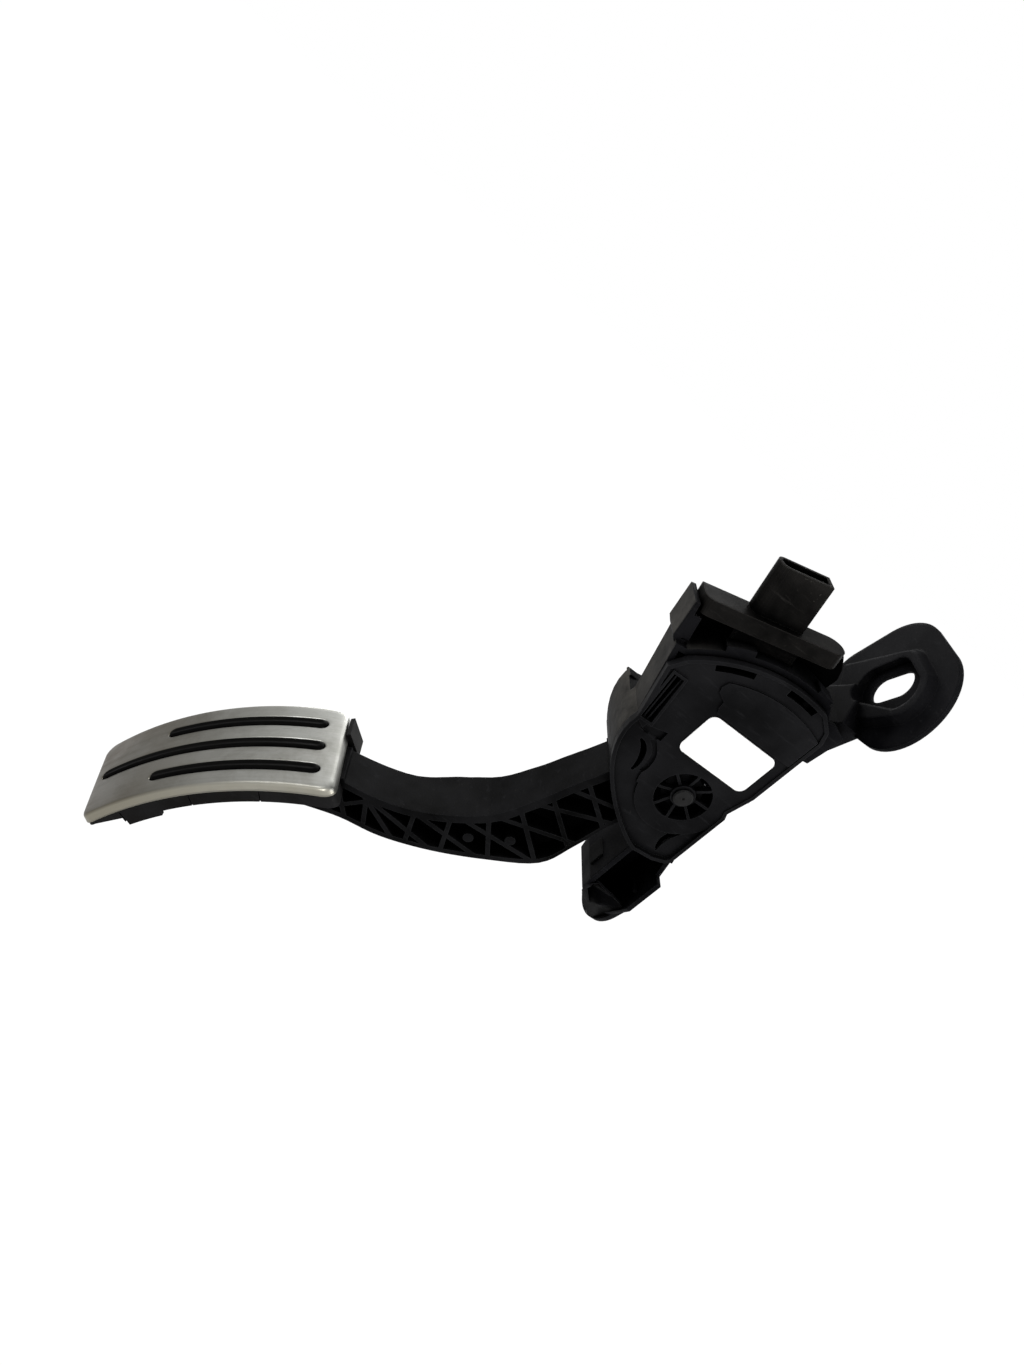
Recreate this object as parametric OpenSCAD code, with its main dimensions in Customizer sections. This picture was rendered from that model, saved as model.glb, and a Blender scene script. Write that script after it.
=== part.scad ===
// Electronic accelerator pedal: moulded housing with a mounting ear and foot, truss arm on a steel pin,
// two nested return springs, plug-in position sensor and a metal-faced pedal pad.
// Frame: X away from the mounting wall, Y along the pivot pin, Z up along the wall.
// The origin is the centre of the ear's slot on the wall face. Sizes are in mm.

/* [Layout] */
// Height of the pivot pin above the mounting wall
pivot_x = 34; // [34:0.5:40]
// Distance from the ear slot down to the pivot pin
pivot_drop = 79.5; // [79.5:0.5:84]

/* [Housing] */
// Wall thickness of the mouldings
wall = 2.2; // [1.8:0.1:2.6]
// Inner face of the far side wall, measured from the arm's mid-plane
far_inner = 13.8; // [13.6:0.1:15]
// Face on which the side cover lies
near_face = 15; // [14.8:0.1:16]
// Radius of the housing's curved back about the pivot
rim_r = 64.5; // [64:0.1:66]
// Width of the front wall next to the cover
front_w = 16; // [15:0.5:18]
// Depth of the step in the front wall beyond that width
step_in = 6; // [5:0.5:8]
// Thickness of the side ribs
rib_t = 1.2; // [1:0.1:1.6]

/* [Side cover] */
// Thickness of the cover plate
cover_t = 2.5; // [2.2:0.1:3]
// How far the cover's edge lies inside the housing's curved back
cover_inset = 2.5; // [2.1:0.1:3.5]
// Radius of the raised disc round the pin
disc_r = 18.6; // [17.5:0.1:19]
// Depth of the sunk border of the cover
border_h = 1.2; // [0.8:0.1:1.4]
// Radius of the ribbed recess in the disc
recess_r = 11.3; // [11:0.1:12.5]
// Outer radius of the pin socket
socket_r = 4.9; // [4.7:0.1:5.4]
// Number of ribs between the socket and the disc
spokes = 8; // [6:1:9]

/* [Pivot] */
// Radius of the pivot pin
pin_r = 3.9; // [3.5:0.05:4]
// Radial running clearance between pin and bushes
run_gap = 0.04; // [0.02:0.01:0.08]
// Wall of the bushes
bush_wall = 1.3; // [1:0.1:1.5]
// Thickness of the bush flanges
bush_flange = 1; // [0.8:0.1:1.2]
// Side gap between bush flange and housing
side_gap = 0.2; // [0.1:0.05:0.3]

/* [Arm] */
// Width of the arm
arm_w = 25; // [23:0.5:25]
// Radius of the arm's hub
hub_r = 17; // [16:0.1:17.2]
// Thickness of the arm's upper flange
top_flange = 3.8; // [3:0.1:4.5]
// Thickness of the arm's lower flange
low_flange = 2; // [1.6:0.1:2.6]
// Thickness of the middle web
web_t = 2.4; // [2:0.1:3]
// Thickness of the truss ribs
truss_t = 1.9; // [1.5:0.1:2.2]

/* [Pad] */
// Radius of the pad's face
pad_r = 141.5; // [138:0.5:146]
// Length of the pad from its middle to the root end
pad_root = 55.3; // [54:0.1:56]
// Length of the pad from its middle to the near corner of the tip
pad_tip = 45.4; // [44:0.1:50]
// How much further the tip's far corner reaches
pad_slant = 10.8; // [0:0.1:12]
// Width of the pad
pad_w = 52; // [48:0.5:54]
// Sheet thickness of the metal pad plate
plate_t = 1.2; // [1:0.1:1.4]
// Depth of the plate's turned-down edge
lip = 4; // [3.4:0.1:4.4]
// Width of the slots in the plate
slot_w = 5.6; // [5:0.1:6.2]
// Spacing of the slots across the pad
slot_pitch = 14.5; // [13:0.1:15.5]
// Clearance between the plate and the rubber
mat_gap = 0.15; // [0.1:0.05:0.3]
// Height of the rubber bars above the plate
bar_proud = 0.7; // [0.4:0.1:1.2]

/* [Mounting] */
// Thickness of the ear
ear_t = 1.8; // [1.6:0.1:2.4]
// Length of the ear's slot
slot_l = 19.6; // [18:0.2:21]
// Width of the ear's slot
slot_d = 11.8; // [11:0.1:12.4]
// Thickness of the foot flange
foot_t = 2.5; // [2.2:0.1:3]
// Bore of the foot's steel sleeve
sleeve_bore = 9; // [8:0.1:9.4]
// Wall of the foot's steel sleeve
sleeve_wall = 1.5; // [1.2:0.1:1.8]
// Length of the foot's steel sleeve
sleeve_l = 8; // [7:0.5:10]

/* [Springs] */
// Wire diameter of the outer spring
wire_o = 1.5; // [1.3:0.05:1.6]
// Outside radius of the outer spring
spring_ro = 4.6; // [4.4:0.05:4.7]
// Wire diameter of the inner spring
wire_i = 0.9; // [0.7:0.05:1]
// Outside radius of the inner spring
spring_ri = 2.8; // [2.6:0.05:2.9]
// Length of the springs at rest
spring_l = 41; // [40:0.5:42]

/* [Sensor] */
// Tilt of the sensor cap
cap_tilt = 15; // [14:0.5:16]
// Length of the sensor cap
cap_l = 57; // [55:0.5:58]
// Height of the sensor cap
cap_h = 6.5; // [6:0.1:7]
// Depth of the sensor cap
cap_d = 12; // [11.5:0.1:12.5]
// Outside width of the connector
plug_w = 21; // [20:0.5:22]
// Outside depth of the connector
plug_d = 8.4; // [8:0.1:9]
// Height of the connector above the cap
plug_h = 20; // [18:0.5:22]
// Number of contact blades
blades = 6; // [4:1:6]
// Thickness of the circuit board
board_t = 1.2; // [1:0.1:1.4]

/* [Hidden] */
$fn = 64;
e = 0.01;
cover_y = near_face + cover_t;
far_y = far_inner + wall;
step_y = near_face - front_w;
cover_r = rim_r - cover_inset;
bush_r = pin_r + run_gap + bush_wall;
boss_r = 6.9;
hub_half = far_inner - 1.2 - side_gap - bush_flange;
spring_x = pivot_x - 11.8;
seat_z = 2;
spring_top = seat_z + spring_l;
disc_t = 1.2;
pad_mid = 39;
pad_x = 183.57;
pad_z = -115.35;
pad_cx = pad_x - pad_r * cos(pad_mid);
pad_cz = pad_z - pad_r * sin(pad_mid);
seat_gap = 0.03;
root_z = sqrt(pad_r * pad_r - pad_root * pad_root);
mat_t = 1;
sheet_t = 2.2;
skirt_t = 2;
skirt_in = pad_r - 9.7;
head_t = 2.6;
web_y = 2;
mat_out = pad_r - plate_t - mat_gap;
mat_in = mat_out - mat_t;
head_out = mat_in - sheet_t;
head_in = head_out - head_t;
slot_dir = 60;
foot_hole = [-29, -66];
slot_z = 79.5;
band_x = 5;
foot_far = -17;
body_y = 3;
body_d = 6;
plug_y = 3.9;
cap_rise = 5.44 + cap_h;
cap_gap = 0.6;
magnet_gap = 3.3;
shell_t = 1.2;
magnet_in = hub_r + 0.02;
magnet_out = hub_r + 2.6;
cap_z = rim_r + cap_rise;
cap_x = 0.517 * rim_r;
body_l = cap_z - magnet_out - magnet_gap;

// Points of a cubic curve between two ends with two guide points.
function bezier(p, n) = [for (i = [0:n]) let (t = i / n)
    pow(1 - t, 3) * p[0] + 3 * t * pow(1 - t, 2) * p[1] + 3 * t * t * (1 - t) * p[2] + pow(t, 3) * p[3]];
// Points of an arc about a centre.
function arc(c, r, a0, a1, n) = [for (i = [0:n]) let (a = a0 + (a1 - a0) * i / n)
    [c[0] + r * cos(a), c[1] + r * sin(a)]];
// One point of a smooth curve through a list of points, at a share of its length in spans.
function span_point(a, b, c, d, t) = 0.5 * (2 * b + (c - a) * t + (2 * a - 5 * b + 4 * c - d) * t * t
    + (3 * b - a - 3 * c + d) * t * t * t);
function through(p, s) = let (n = len(p) - 1, i = min(floor(s * n), n - 1), t = s * n - i,
    a = i > 0 ? p[i - 1] : 2 * p[0] - p[1], d = i + 2 > n ? 2 * p[n] - p[n - 1] : p[i + 2])
    span_point(a, p[i], p[i + 1], d, t);
function smooth(p, n) = [for (i = [0:n]) through(p, i / n)];
function after_first(p) = [for (i = [1:len(p) - 1]) p[i]];
function backwards(p) = [for (i = [len(p) - 1:-1:0]) p[i]];

// Extrude a side outline, drawn as X and height, between two Y values.
module slab(y0, y1) {
    translate([0, y1, 0])
        rotate([90, 0, 0])
            linear_extrude(y1 - y0)
                children();
}
// Extrude a front outline, drawn as Y and height, between two X values.
module plate(x0, x1) {
    translate([x0, 0, 0])
        rotate([90, 0, 90])
            linear_extrude(x1 - x0)
                children();
}
// Cylinder along Y at a point of the side view.
module pin_y(x, z, r, y0, y1) {
    translate([x, y1, z])
        rotate([90, 0, 0])
            cylinder(r = r, h = y1 - y0);
}
module rounded_rect(a, b, r) {
    offset(r)
        offset(-r)
            translate([-a / 2, -b / 2])
                square([a, b]);
}
// A straight bar between two points of a flat drawing.
module bar(p, q, t) {
    d = q - p;
    translate(p)
        rotate(atan2(d[1], d[0]))
            translate([0, -t / 2])
                square([norm(d), t]);
}
// A ring sector about the pivot in the side view.
module sector(r0, r1, a0, a1) {
    polygon(concat(arc([pivot_x, 0], r1, a0, a1, 24), arc([pivot_x, 0], r0, a1, a0, 24)));
}
// Everything is drawn with the pivot at height zero and then moved down to its place.
module in_place() {
    translate([0, 0, -pivot_drop])
        children();
}

// A point at a radius and angle about the pivot.
function rim_point(r, a) = [pivot_x + r * cos(a), r * sin(a)];
// Outline of the housing in the side view, with a curved back of radius r.
function shell_points(r, base, top_front) = concat(
    [[73.2, 17], top_front],
    arc([pivot_x, 0], r, 47, 101, 20),
    [[base + 2.2, 56.2], [base, 51], [base, 5.5], [base + 1.1, 3.4], [base + 1.1, -26], [base + 2.6, -28.4],
        [base + 8, -30.6]],
    bezier([[31.5, -31.5], [43.57, -27.57], [77.46, -4.91], [73.2, 17]], 16));
module housing_outline() {
    polygon(shell_points(rim_r, 13.6, rim_point(rim_r + 2.7, 43.7)));
}
module cover_outline() {
    difference() {
        polygon(shell_points(cover_r, 13.6, rim_point(cover_r - 1.8, 40.3)));
        polygon([[13, 17], [13.6, 17], [16, 5.6], [14.7, 3], [13, 3]]);
    }
}
// The part of the side view in front of the stepped front wall.
module step_area() {
    polygon([[66.5, 16], [86, 12], [100, 60], [82, 70], [80 - step_in, 49]]);
}
module far_outline() {
    difference() {
        housing_outline();
        step_area();
    }
}
// Room in the side view that the arm sweeps below the pivot.
module arm_window() {
    polygon([[56.6, -2], [63, -12.6], [70, -30], [100, -60], [60, -90], [30.3, -60], [30.3, -34], [29, -30],
        [29, -12]]);
}
module shell() {
    difference() {
        union() {
            slab(-far_y, step_y)
                far_outline();
            slab(step_y, near_face)
                housing_outline();
            slab(-far_y, -far_y + 5)
                intersection() {
                    housing_outline();
                    translate([50, -40])
                        square([40, 55.4]);
                }
        }
        slab(-far_inner, step_y + wall)
            offset(delta = -wall)
                far_outline();
        slab(step_y + wall, near_face + 1)
            offset(delta = -wall)
                housing_outline();
        slab(-far_inner, near_face + 1)
            arm_window();
    }
}
// Ribs on the outside of the far wall, from the pin boss to the rim.
module far_ribs() {
    slab(-far_y - 1.6, -far_y)
        intersection() {
            far_outline();
            union() {
                for (a = [-20, 20, 55, 90, 125, 200, 250])
                    bar([pivot_x, 0], [pivot_x, 0] + 70 * [cos(a), sin(a)], rib_t);
                difference() {
                    translate([pivot_x, 0])
                        circle(r = 30);
                    translate([pivot_x, 0])
                        circle(r = 30 - rib_t);
                }
            }
        }
}
// Wall between the springs and the sensor, and the shelf above the springs.
module spring_chamber() {
    slab(-far_inner - e, near_face)
        polygon([[spring_x + 6.2, 21.5], [spring_x + 6.2 + wall, 22.5], [spring_x + 6.2 + wall, 62.5],
            [spring_x + 6.2, 62.5]]);
    slab(-far_inner - e, near_face)
        translate([14, spring_top + disc_t])
            square([spring_x + 7 - 14, wall]);
}
// Wall that carries on up beside the sensor cap, with a lip on its near side.
module end_wall() {
    sensor_frame() {
        slab(step_y - 2, 12)
            polygon([[1.6, -20.3], [3.2, -17.7], [2.5, -3.1], [cap_gap, -3.1], [-0.1, -18.2], [-2.4, -18], [-0.6, -21]]);
        slab(10.6, 12)
            polygon([[2.9, -17.5], [2.6, -8], [-2.6, -8], [-2.9, -17.7]]);
    }
}
module shell_trim() {
    slab(10.4, 12.4)
        polygon([[14, 38.5], [7.3, 39.7], [5.4, 55.5], [12.2, 58.1], [16, 57]]);
    slab(6, near_face)
        sector(rim_r - 1, rim_r + 2.2, 59, 68.5);
    slab(7.4, near_face)
        sector(rim_r - 1, rim_r + 1.6, 93.6, 100);
    slab(12.6, near_face + e)
        polygon([[16, -25.2], [12.8, -25.2], [11.7, -28.6], [16.6, -29.6]]);
    for (z = [30.4, 14.2])
        slab(8.6, 13.2)
            polygon([[14.6, z + 4.6], [11.8, z + 3.6], [10.3, z + 1.6], [10.3, z - 2], [12, z - 3.8], [14.6, z - 4.6]]);
}

// Front view of the ear.
module ear_outline() {
    hull() {
        translate([9.6, 82.4])
            circle(r = 22.6);
        translate([-8, 82.8])
            circle(r = 21.4);
        translate([-11, 73.5])
            circle(r = 20.8);
        translate([-19, 68])
            circle(r = 14.6);
    }
}
module along_slot(s, r) {
    translate([s * cos(slot_dir), slot_z + s * sin(slot_dir)])
        circle(r = r);
}
// Band that runs from the neck round the slot, drawn along its crest and grown by a margin.
module band_outline(grow) {
    offset(delta = grow)
        polygon(concat([[-28, 67], [-17, 79]], arc([-1.6, 85.4], 9.3, 145, 95, 6),
            arc([9.4, 82.9], 11.9, 78, -28, 12), [[12, 68], [-5, 54]]));
}
// Hollow inside the band, with the slot in its floor.
module pocket_outline(grow) {
    offset(delta = grow)
        polygon(concat(arc([-3.8, 74.5], 8.6, 285, 165, 10), arc([-1, 84.2], 6.9, 145, 95, 5),
            arc([8, 82.6], 8.9, 78, -40, 10)));
}
module slot_outline() {
    hull() {
        along_slot(-(slot_l - slot_d) / 2, slot_d / 2);
        along_slot((slot_l - slot_d) / 2, slot_d / 2);
    }
}
module ear() {
    difference() {
        union() {
            plate(0, ear_t)
                ear_outline();
            hull() {
                plate(ear_t - 1, ear_t)
                    band_outline(1.4);
                plate(band_x - 0.6, band_x)
                    band_outline(-0.8);
            }
            intersection() {
                plate(0, 16)
                    polygon([[-20, 46], [-16.5, 58], [-13, 64], [-9, 71], [-1, 67], [7, 62], [10, 60], [4, 46]]);
                slab(-40, 40)
                    polygon([[0, 46], [16, 46], [16, 53], [10.5, 59], [7, 66], [band_x, 72], [0, 76]]);
            }
        }
        hull() {
            plate(ear_t, ear_t + 0.1)
                pocket_outline(-0.8);
            plate(band_x + 3, band_x + 3.1)
                pocket_outline(0.6);
        }
        plate(-1, 8)
            slot_outline();
    }
}

// Profile of the foot body in the side view.
module foot_profile() {
    polygon([[foot_t - e, -90], [foot_t - e, -24], [24, -24], [27.4, -31], [27.4, -60], [25.6, -67], [18, -74.5],
        [9.6, -81.5]]);
}
// Front view of the foot body, with its lower corner cut back to the flange.
module foot_plan() {
    polygon([[-18, -20], [-8, -20], [4, -44], [11, -44], [11, -61], [6, -70], [-4, -86], [-12, -92], [-18, -92]]);
}
module foot() {
    plate(0, foot_t)
        difference() {
            union() {
                hull() {
                    translate([-19.5, -69])
                        circle(r = 23.6);
                    translate([-19, -61.5])
                        circle(r = 24.6);
                }
                translate([-17, -48])
                    square([10, 24]);
            }
            translate(foot_hole)
                circle(r = sleeve_bore / 2 + sleeve_wall);
        }
    difference() {
        union() {
            intersection() {
                plate(-1, 30)
                    foot_plan();
                slab(foot_far, 10)
                    foot_profile();
            }
            slab(foot_far, 10)
                polygon([[22, -24], [24, -24], [27.4, -31], [27.4, -46], [22, -46]]);
        }
        slab(foot_far + wall, 11)
            offset(delta = -wall)
                foot_profile();
    }
    translate([0, foot_hole[0], foot_hole[1]])
        rotate([0, 90, 0])
            difference() {
                cylinder(r = sleeve_bore / 2 + sleeve_wall + 2, h = sleeve_l);
                translate([0, 0, -1])
                    cylinder(r = sleeve_bore / 2 + sleeve_wall, h = sleeve_l + 2);
            }
    slab(-2, 5.6)
        translate([foot_t - e, -56.6])
            square([4, rib_t]);
    slab(1, 5.2)
        translate([foot_t - e, -64.6])
            square([3, rib_t]);
    slab(-29, foot_far + e)
        polygon([[foot_t - e, -60], [14, -44], [14, -42.6], [foot_t - e, -42.6]]);
}
module housing() {
    color([0.11, 0.11, 0.12])
        in_place() {
            difference() {
                union() {
                    shell();
                    far_ribs();
                    spring_chamber();
                    end_wall();
                    shell_trim();
                    ear();
                    foot();
                    pin_y(pivot_x, 0, 8, -far_y - 2, -far_inner + 1.2);
                }
                pin_y(pivot_x, 0, pin_r, -far_y - 3, near_face);
                sensor_frame()
                    translate([-42.6, body_y - cap_gap, -body_l - cap_gap])
                        cube([27.2, body_d + 2 * cap_gap, body_l]);
                slab(-far_inner + 1.2, near_face + 1)
                    arm_sweep();
            }
        }
}
// Extra room cut in the foot and the lower rim for the arm at full travel.
module arm_sweep() {
    polygon([[29, -20], [28.4, -30], [28.4, -60], [60, -90], [60, -20]]);
}

module side_cover() {
    color([0.13, 0.13, 0.14])
        in_place()
            difference() {
                union() {
                    difference() {
                        slab(near_face, cover_y)
                            cover_outline();
                        slab(cover_y - border_h, cover_y + 1)
                            sunk_border();
                    }
                    slab(cover_y - border_h - 0.5, cover_y + 0.8)
                        difference() {
                            cover_outline();
                            offset(delta = -1.5)
                                cover_outline();
                        }
                    pin_y(pivot_x, 0, 8, far_inner - 1.2, near_face + 0.5);
                    slab(cover_y - 0.5, cover_y + 0.9)
                        raised_panel();
                    slab(cover_y - 0.5, cover_y + 0.8)
                        offset(delta = 1.1)
                            long_window();
                }
                cover_cuts();
            }
}
// The border of the cover below the hub, sunk under the middle face.
module sunk_border() {
    difference() {
        intersection() {
            offset(delta = -1.4)
                cover_outline();
            polygon(concat([[0, -3], [0, -60], [90, -60], [90, 18.5], [72, 15.4], [66, 12.6]],
                bezier([[60.6, 13.2], [54, 9.5], [56.2, 2], [52.6, -6]], 8)));
        }
        translate([pivot_x, 0])
            circle(r = disc_r);
    }
}
module raised_panel() {
    intersection() {
        polygon(concat(arc([pivot_x, 0], cover_r - 8, 63, 111.5, 20),
            [[15.4, 44], [15.4, 36.2], [52.6, 36.2], [53.9, 38.5], [54.3, 41.2], [58.4, 43], [59.4, 45.2]]));
        translate([15.6, 0])
            square([60, 60]);
    }
}
module long_window() {
    polygon([[75.8, 38.2], [71.2, 38.4], [67.4, 17.6], [72.4, 17.4]]);
}
module upper_crescent() {
    polygon(concat(bezier([[64.4, 9.6], [58.6, 9.4], [55.2, 1], [56.8, -3.6]], 8),
        bezier([[57.8, -3.8], [58, 0.4], [60.4, 6], [64.4, 8.6]], 8)));
}
module crescent_groove() {
    polygon(concat(bezier([[60.4, 12], [55.4, 11], [52.4, 3.4], [54, -1.4]], 8),
        bezier([[55, -1.8], [54.4, 4.2], [57.4, 9.8], [61.4, 10.8]], 8)));
}
module lower_crescent() {
    polygon(concat(bezier([[20.6, -13.4], [26.6, -15], [27, -23.6], [22.4, -27.2]], 8),
        after_first(bezier([[22.4, -27.2], [23.2, -21.4], [22.6, -17.4], [20.4, -14.2]], 8))));
}
module cover_cuts() {
    pin_y(pivot_x, 0, pin_r, 0, cover_y + 2);
    difference() {
        pin_y(pivot_x, 0, recess_r, near_face - 1.6, cover_y + 1);
        pin_y(pivot_x, 0, socket_r, near_face - 2, cover_y - 0.6);
        difference() {
            slab(near_face - 2, cover_y - 0.1)
                for (i = [0:spokes - 1])
                    bar([pivot_x, 0], [pivot_x, 0] + 13 * [cos(35 + i * 360 / spokes),
                        sin(35 + i * 360 / spokes)], rib_t - 0.1);
            translate([pivot_x, cover_y + 0.1, 0])
                rotate([90, 0, 0])
                    cylinder(r1 = recess_r - 0.4, r2 = socket_r - 1, h = 2);
        }
    }
    slab(near_face - 1, cover_y + 2) {
        difference() {
            long_window();
            bar([68.9, 16], [71.8, 40], 0.6);
            bar([70.6, 16], [74.4, 40], 0.6);
        }
        upper_crescent();
        lower_crescent();
        sector(cover_r - 4.5, cover_r - 1.8, 56.6, 71);
        sector(cover_r - 4.5, cover_r - 1.8, 84.8, 98.2);
    }
    slab(cover_y - 0.6, cover_y + 1)
        long_window();
    slab(cover_y - 1.6, cover_y + 1) {
        polygon([[68.2, 12.6], [67.8, 15.4], [59.2, 18], [58.8, 13.6], [61.8, 12.9]]);
        crescent_groove();
    }
}
module id_label() {
    color([0.95, 0.95, 0.95])
        in_place()
            slab(cover_y, cover_y + 0.25)
                translate([36, 25.2])
                    rounded_rect(33.4, 19.4, 3.2);
}

module pivot_pin() {
    color([0.6, 0.6, 0.62])
        in_place()
            difference() {
                union() {
                    pin_y(pivot_x, 0, pin_r, -far_y - 2.6, cover_y + 0.6);
                    pin_y(pivot_x, 0, pin_r - 0.4, cover_y + 0.5, cover_y + 1);
                }
                pin_y(pivot_x, 0, 0.6, cover_y + 0.5, cover_y + 2);
            }
}
module bush(side) {
    s = side > 0 ? 0 : 1;
    mirror([0, s, 0])
        difference() {
            union() {
                pin_y(pivot_x, 0, bush_r, 3, hub_half);
                pin_y(pivot_x, 0, boss_r - 0.3, hub_half - e, hub_half + bush_flange);
            }
            pin_y(pivot_x, 0, pin_r + run_gap, 0, far_y);
        }
}
module bush_near() {
    color([0.75, 0.7, 0.55])
        in_place()
            bush(1);
}
module bush_far() {
    color([0.75, 0.7, 0.55])
        in_place()
            bush(-1);
}

// How far the pad stands from the place for which the arm's curves are drawn.
arm_shift = [pad_x - 183.57, pad_z + 115.35];
// Share of that shift which a point of the arm takes up: none under the front lug and all of it at the pad.
function shift_share(x) = min(1, max(0, (x - 67) / 71));
function follow(points) = [for (p = points) p + arm_shift * shift_share(p[0])];
function follow_plan(points) = [for (p = points) [p[0] + arm_shift[0] * shift_share(p[0]), p[1]]];
function with_pad(points) = [for (p = points) p + arm_shift];
// Upper and lower edges of the arm in the side view, from the hub to the pad.
arm_top = follow([[56, -1.5], [60.9, -12.6], [67, -27], [72.4, -41.5], [81.6, -59.4], [99.5, -73.8],
    [118, -81.4], [138, -84]]);
arm_low = follow([[36, -16.5], [41.7, -30.1], [45.6, -49], [50.5, -65.5], [68, -78.5], [88, -89.6], [108, -97],
    [126, -99.6], [141, -104]]);
// Truss ribs, each from a share of the upper edge to a share of the lower edge.
truss = [[1, 0.857], [0.862, 0.965], [0.903, 0.801], [0.924, 0.715], [0.95, 0.622], [0.757, 0.688],
    [0.776, 0.516], [0.662, 0.604], [0.651, 0.386], [0.571, 0.496], [0.567, 0.241], [0.48, 0.386],
    [0.448, 0.125], [0.365, 0.273], [0.303, 0.048], [0.22, 0.16], [0.14, 0.03]];
// Far edge of the arm seen from above, which waists at both ends.
arm_far = follow_plan([[40, -11], [54, -8.4], [64, -7.2], [73, -9.4], [85, -12.5], [93, -12.3], [106, -9.2],
    [122, -9], [142, -7.6], [180, -7.6]]);
module arm_outline() {
    polygon(concat(smooth(arm_top, 35), backwards(smooth(arm_low, 40)), [[44, -2], [50, 4]]));
}
module arm_flanges() {
    difference() {
        arm_outline();
        polygon(concat([for (p = smooth(arm_top, 35)) p - top_flange * [0.78, 0.62]],
            backwards([for (p = smooth(arm_low, 40)) p + low_flange * [0.6, 1]])));
    }
}
module arm_truss() {
    intersection() {
        arm_outline();
        for (s = truss)
            bar(through(arm_top, s[0]), through(arm_low, s[1]), truss_t);
    }
}
// Plan view of the pad, drawn along its length and across it, shrunk by a margin.
module pad_plan(margin) {
    offset(r = 5 - margin / 2)
        offset(delta = -5 - margin / 2)
            polygon([[pad_tip, pad_w / 2], [-pad_root, pad_w / 2], [1.8 - pad_root, -pad_w / 2],
                [pad_tip + pad_slant, -pad_w / 2]]);
}
module pad_frame() {
    translate([pad_cx, 0, pad_cz])
        rotate([0, 90 - pad_mid, 0])
            children();
}
// A curved layer of the pad between two radii, cut to the pad's plan.
module pad_layer(r0, r1, margin) {
    intersection() {
        pad_frame()
            translate([0, 0, pad_r - 42])
                linear_extrude(50)
                    pad_plan(margin);
        difference() {
            pin_y(pad_cx, pad_cz, r1, -40, 40);
            pin_y(pad_cx, pad_cz, r0, -41, 41);
        }
    }
}
// One slot or bar of the pad, between two distances from the pad's middle.
module pad_strip(y, l0, l1, w, r0, r1) {
    intersection() {
        pad_frame()
            translate([0, 0, pad_r - 42])
                linear_extrude(50) {
                    translate([l1, y])
                        circle(d = w);
                    translate([l0, y])
                        circle(d = w);
                    translate([l1, y - w / 2])
                        square([l0 - l1, w]);
                }
        difference() {
            pin_y(pad_cx, pad_cz, r1, -40, 40);
            pin_y(pad_cx, pad_cz, r0, -41, 41);
        }
    }
}
strips = [[-slot_pitch, 16.8, 11.1 - pad_root], [0, pad_tip - 1.7, 9.8 - pad_root],
    [slot_pitch, 15.3, 9.2 - pad_root]];

// Plate of the arm that lies under the pad, with a deep rib down its middle.
module arm_head() {
    difference() {
        pad_layer(head_in, head_out - seat_gap, 7);
        slab(-30, 30)
            polygon(with_pad([[100, -60], [142.5, -60], [142.5, -110], [100, -110]]));
    }
}
module arm_beam() {
    slab(-arm_w / 2, arm_w / 2) {
        arm_flanges();
        arm_truss();
        intersection() {
            translate([pad_cx, pad_cz])
                circle(r = head_out - seat_gap);
            polygon(with_pad([[133, -84.6], [138, -80], [160, -93], [180, -115], [171, -119.5], [152, -109],
                [141, -104.2]]));
        }
    }
    slab(web_y - web_t / 2, web_y + web_t / 2)
        arm_outline();
    for (p = follow([[80.5, -74.1], [66.8, -64.2]]))
        pin_y(p[0], p[1], 2.2, web_y, arm_w / 2);
}
module pedal_arm() {
    color([0.12, 0.12, 0.13])
        in_place()
            difference() {
                union() {
                    intersection() {
                        arm_beam();
                        translate([0, 0, -200])
                            linear_extrude(260)
                                polygon(concat(smooth(arm_far, 27), [[180 + arm_shift[0], arm_w / 2],
                                    [40, arm_w / 2]]));
                    }
                    pin_y(pivot_x, 0, hub_r, -hub_half, hub_half);
                    arm_head();
                }
                pin_y(pivot_x, 0, bush_r, -20, 20);
                slab(-20, 20)
                    difference() {
                        translate([pivot_x - 20, seat_z - disc_t])
                            square([13.2, 20]);
                        translate([pivot_x, 0])
                            circle(r = boss_r);
                    }
                pin_y(pivot_x, 0, 12.5, hub_half - 2, hub_half + 2);
                pin_y(pivot_x, 0, 12.5, -hub_half - 2, -hub_half + 2);
            }
}
module magnet() {
    color([0.35, 0.35, 0.37])
        in_place()
            slab(2, 10)
                difference() {
                    intersection() {
                        translate([pivot_x, 0])
                            circle(r = magnet_out);
                        polygon([[pivot_x, 0], [pivot_x + 30 * cos(62), 30 * sin(62)], [pivot_x, 40],
                            [pivot_x + 30 * cos(106), 30 * sin(106)]]);
                    }
                    translate([pivot_x, 0])
                        circle(r = magnet_in);
                }
}

module spring_seat(z, up) {
    translate([spring_x, 0, z]) {
        cylinder(r = spring_ro, h = disc_t);
        translate([0, 0, up > 0 ? disc_t - e : -3.6])
            cylinder(r = spring_ri - wire_i - 0.25, h = 3.6 + e);
    }
}
module spring_cup() {
    color([0.8, 0.8, 0.78])
        in_place()
            spring_seat(seat_z - disc_t, 1);
}
module spring_cap() {
    color([0.8, 0.8, 0.78])
        in_place()
            spring_seat(spring_top, -1);
}
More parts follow.
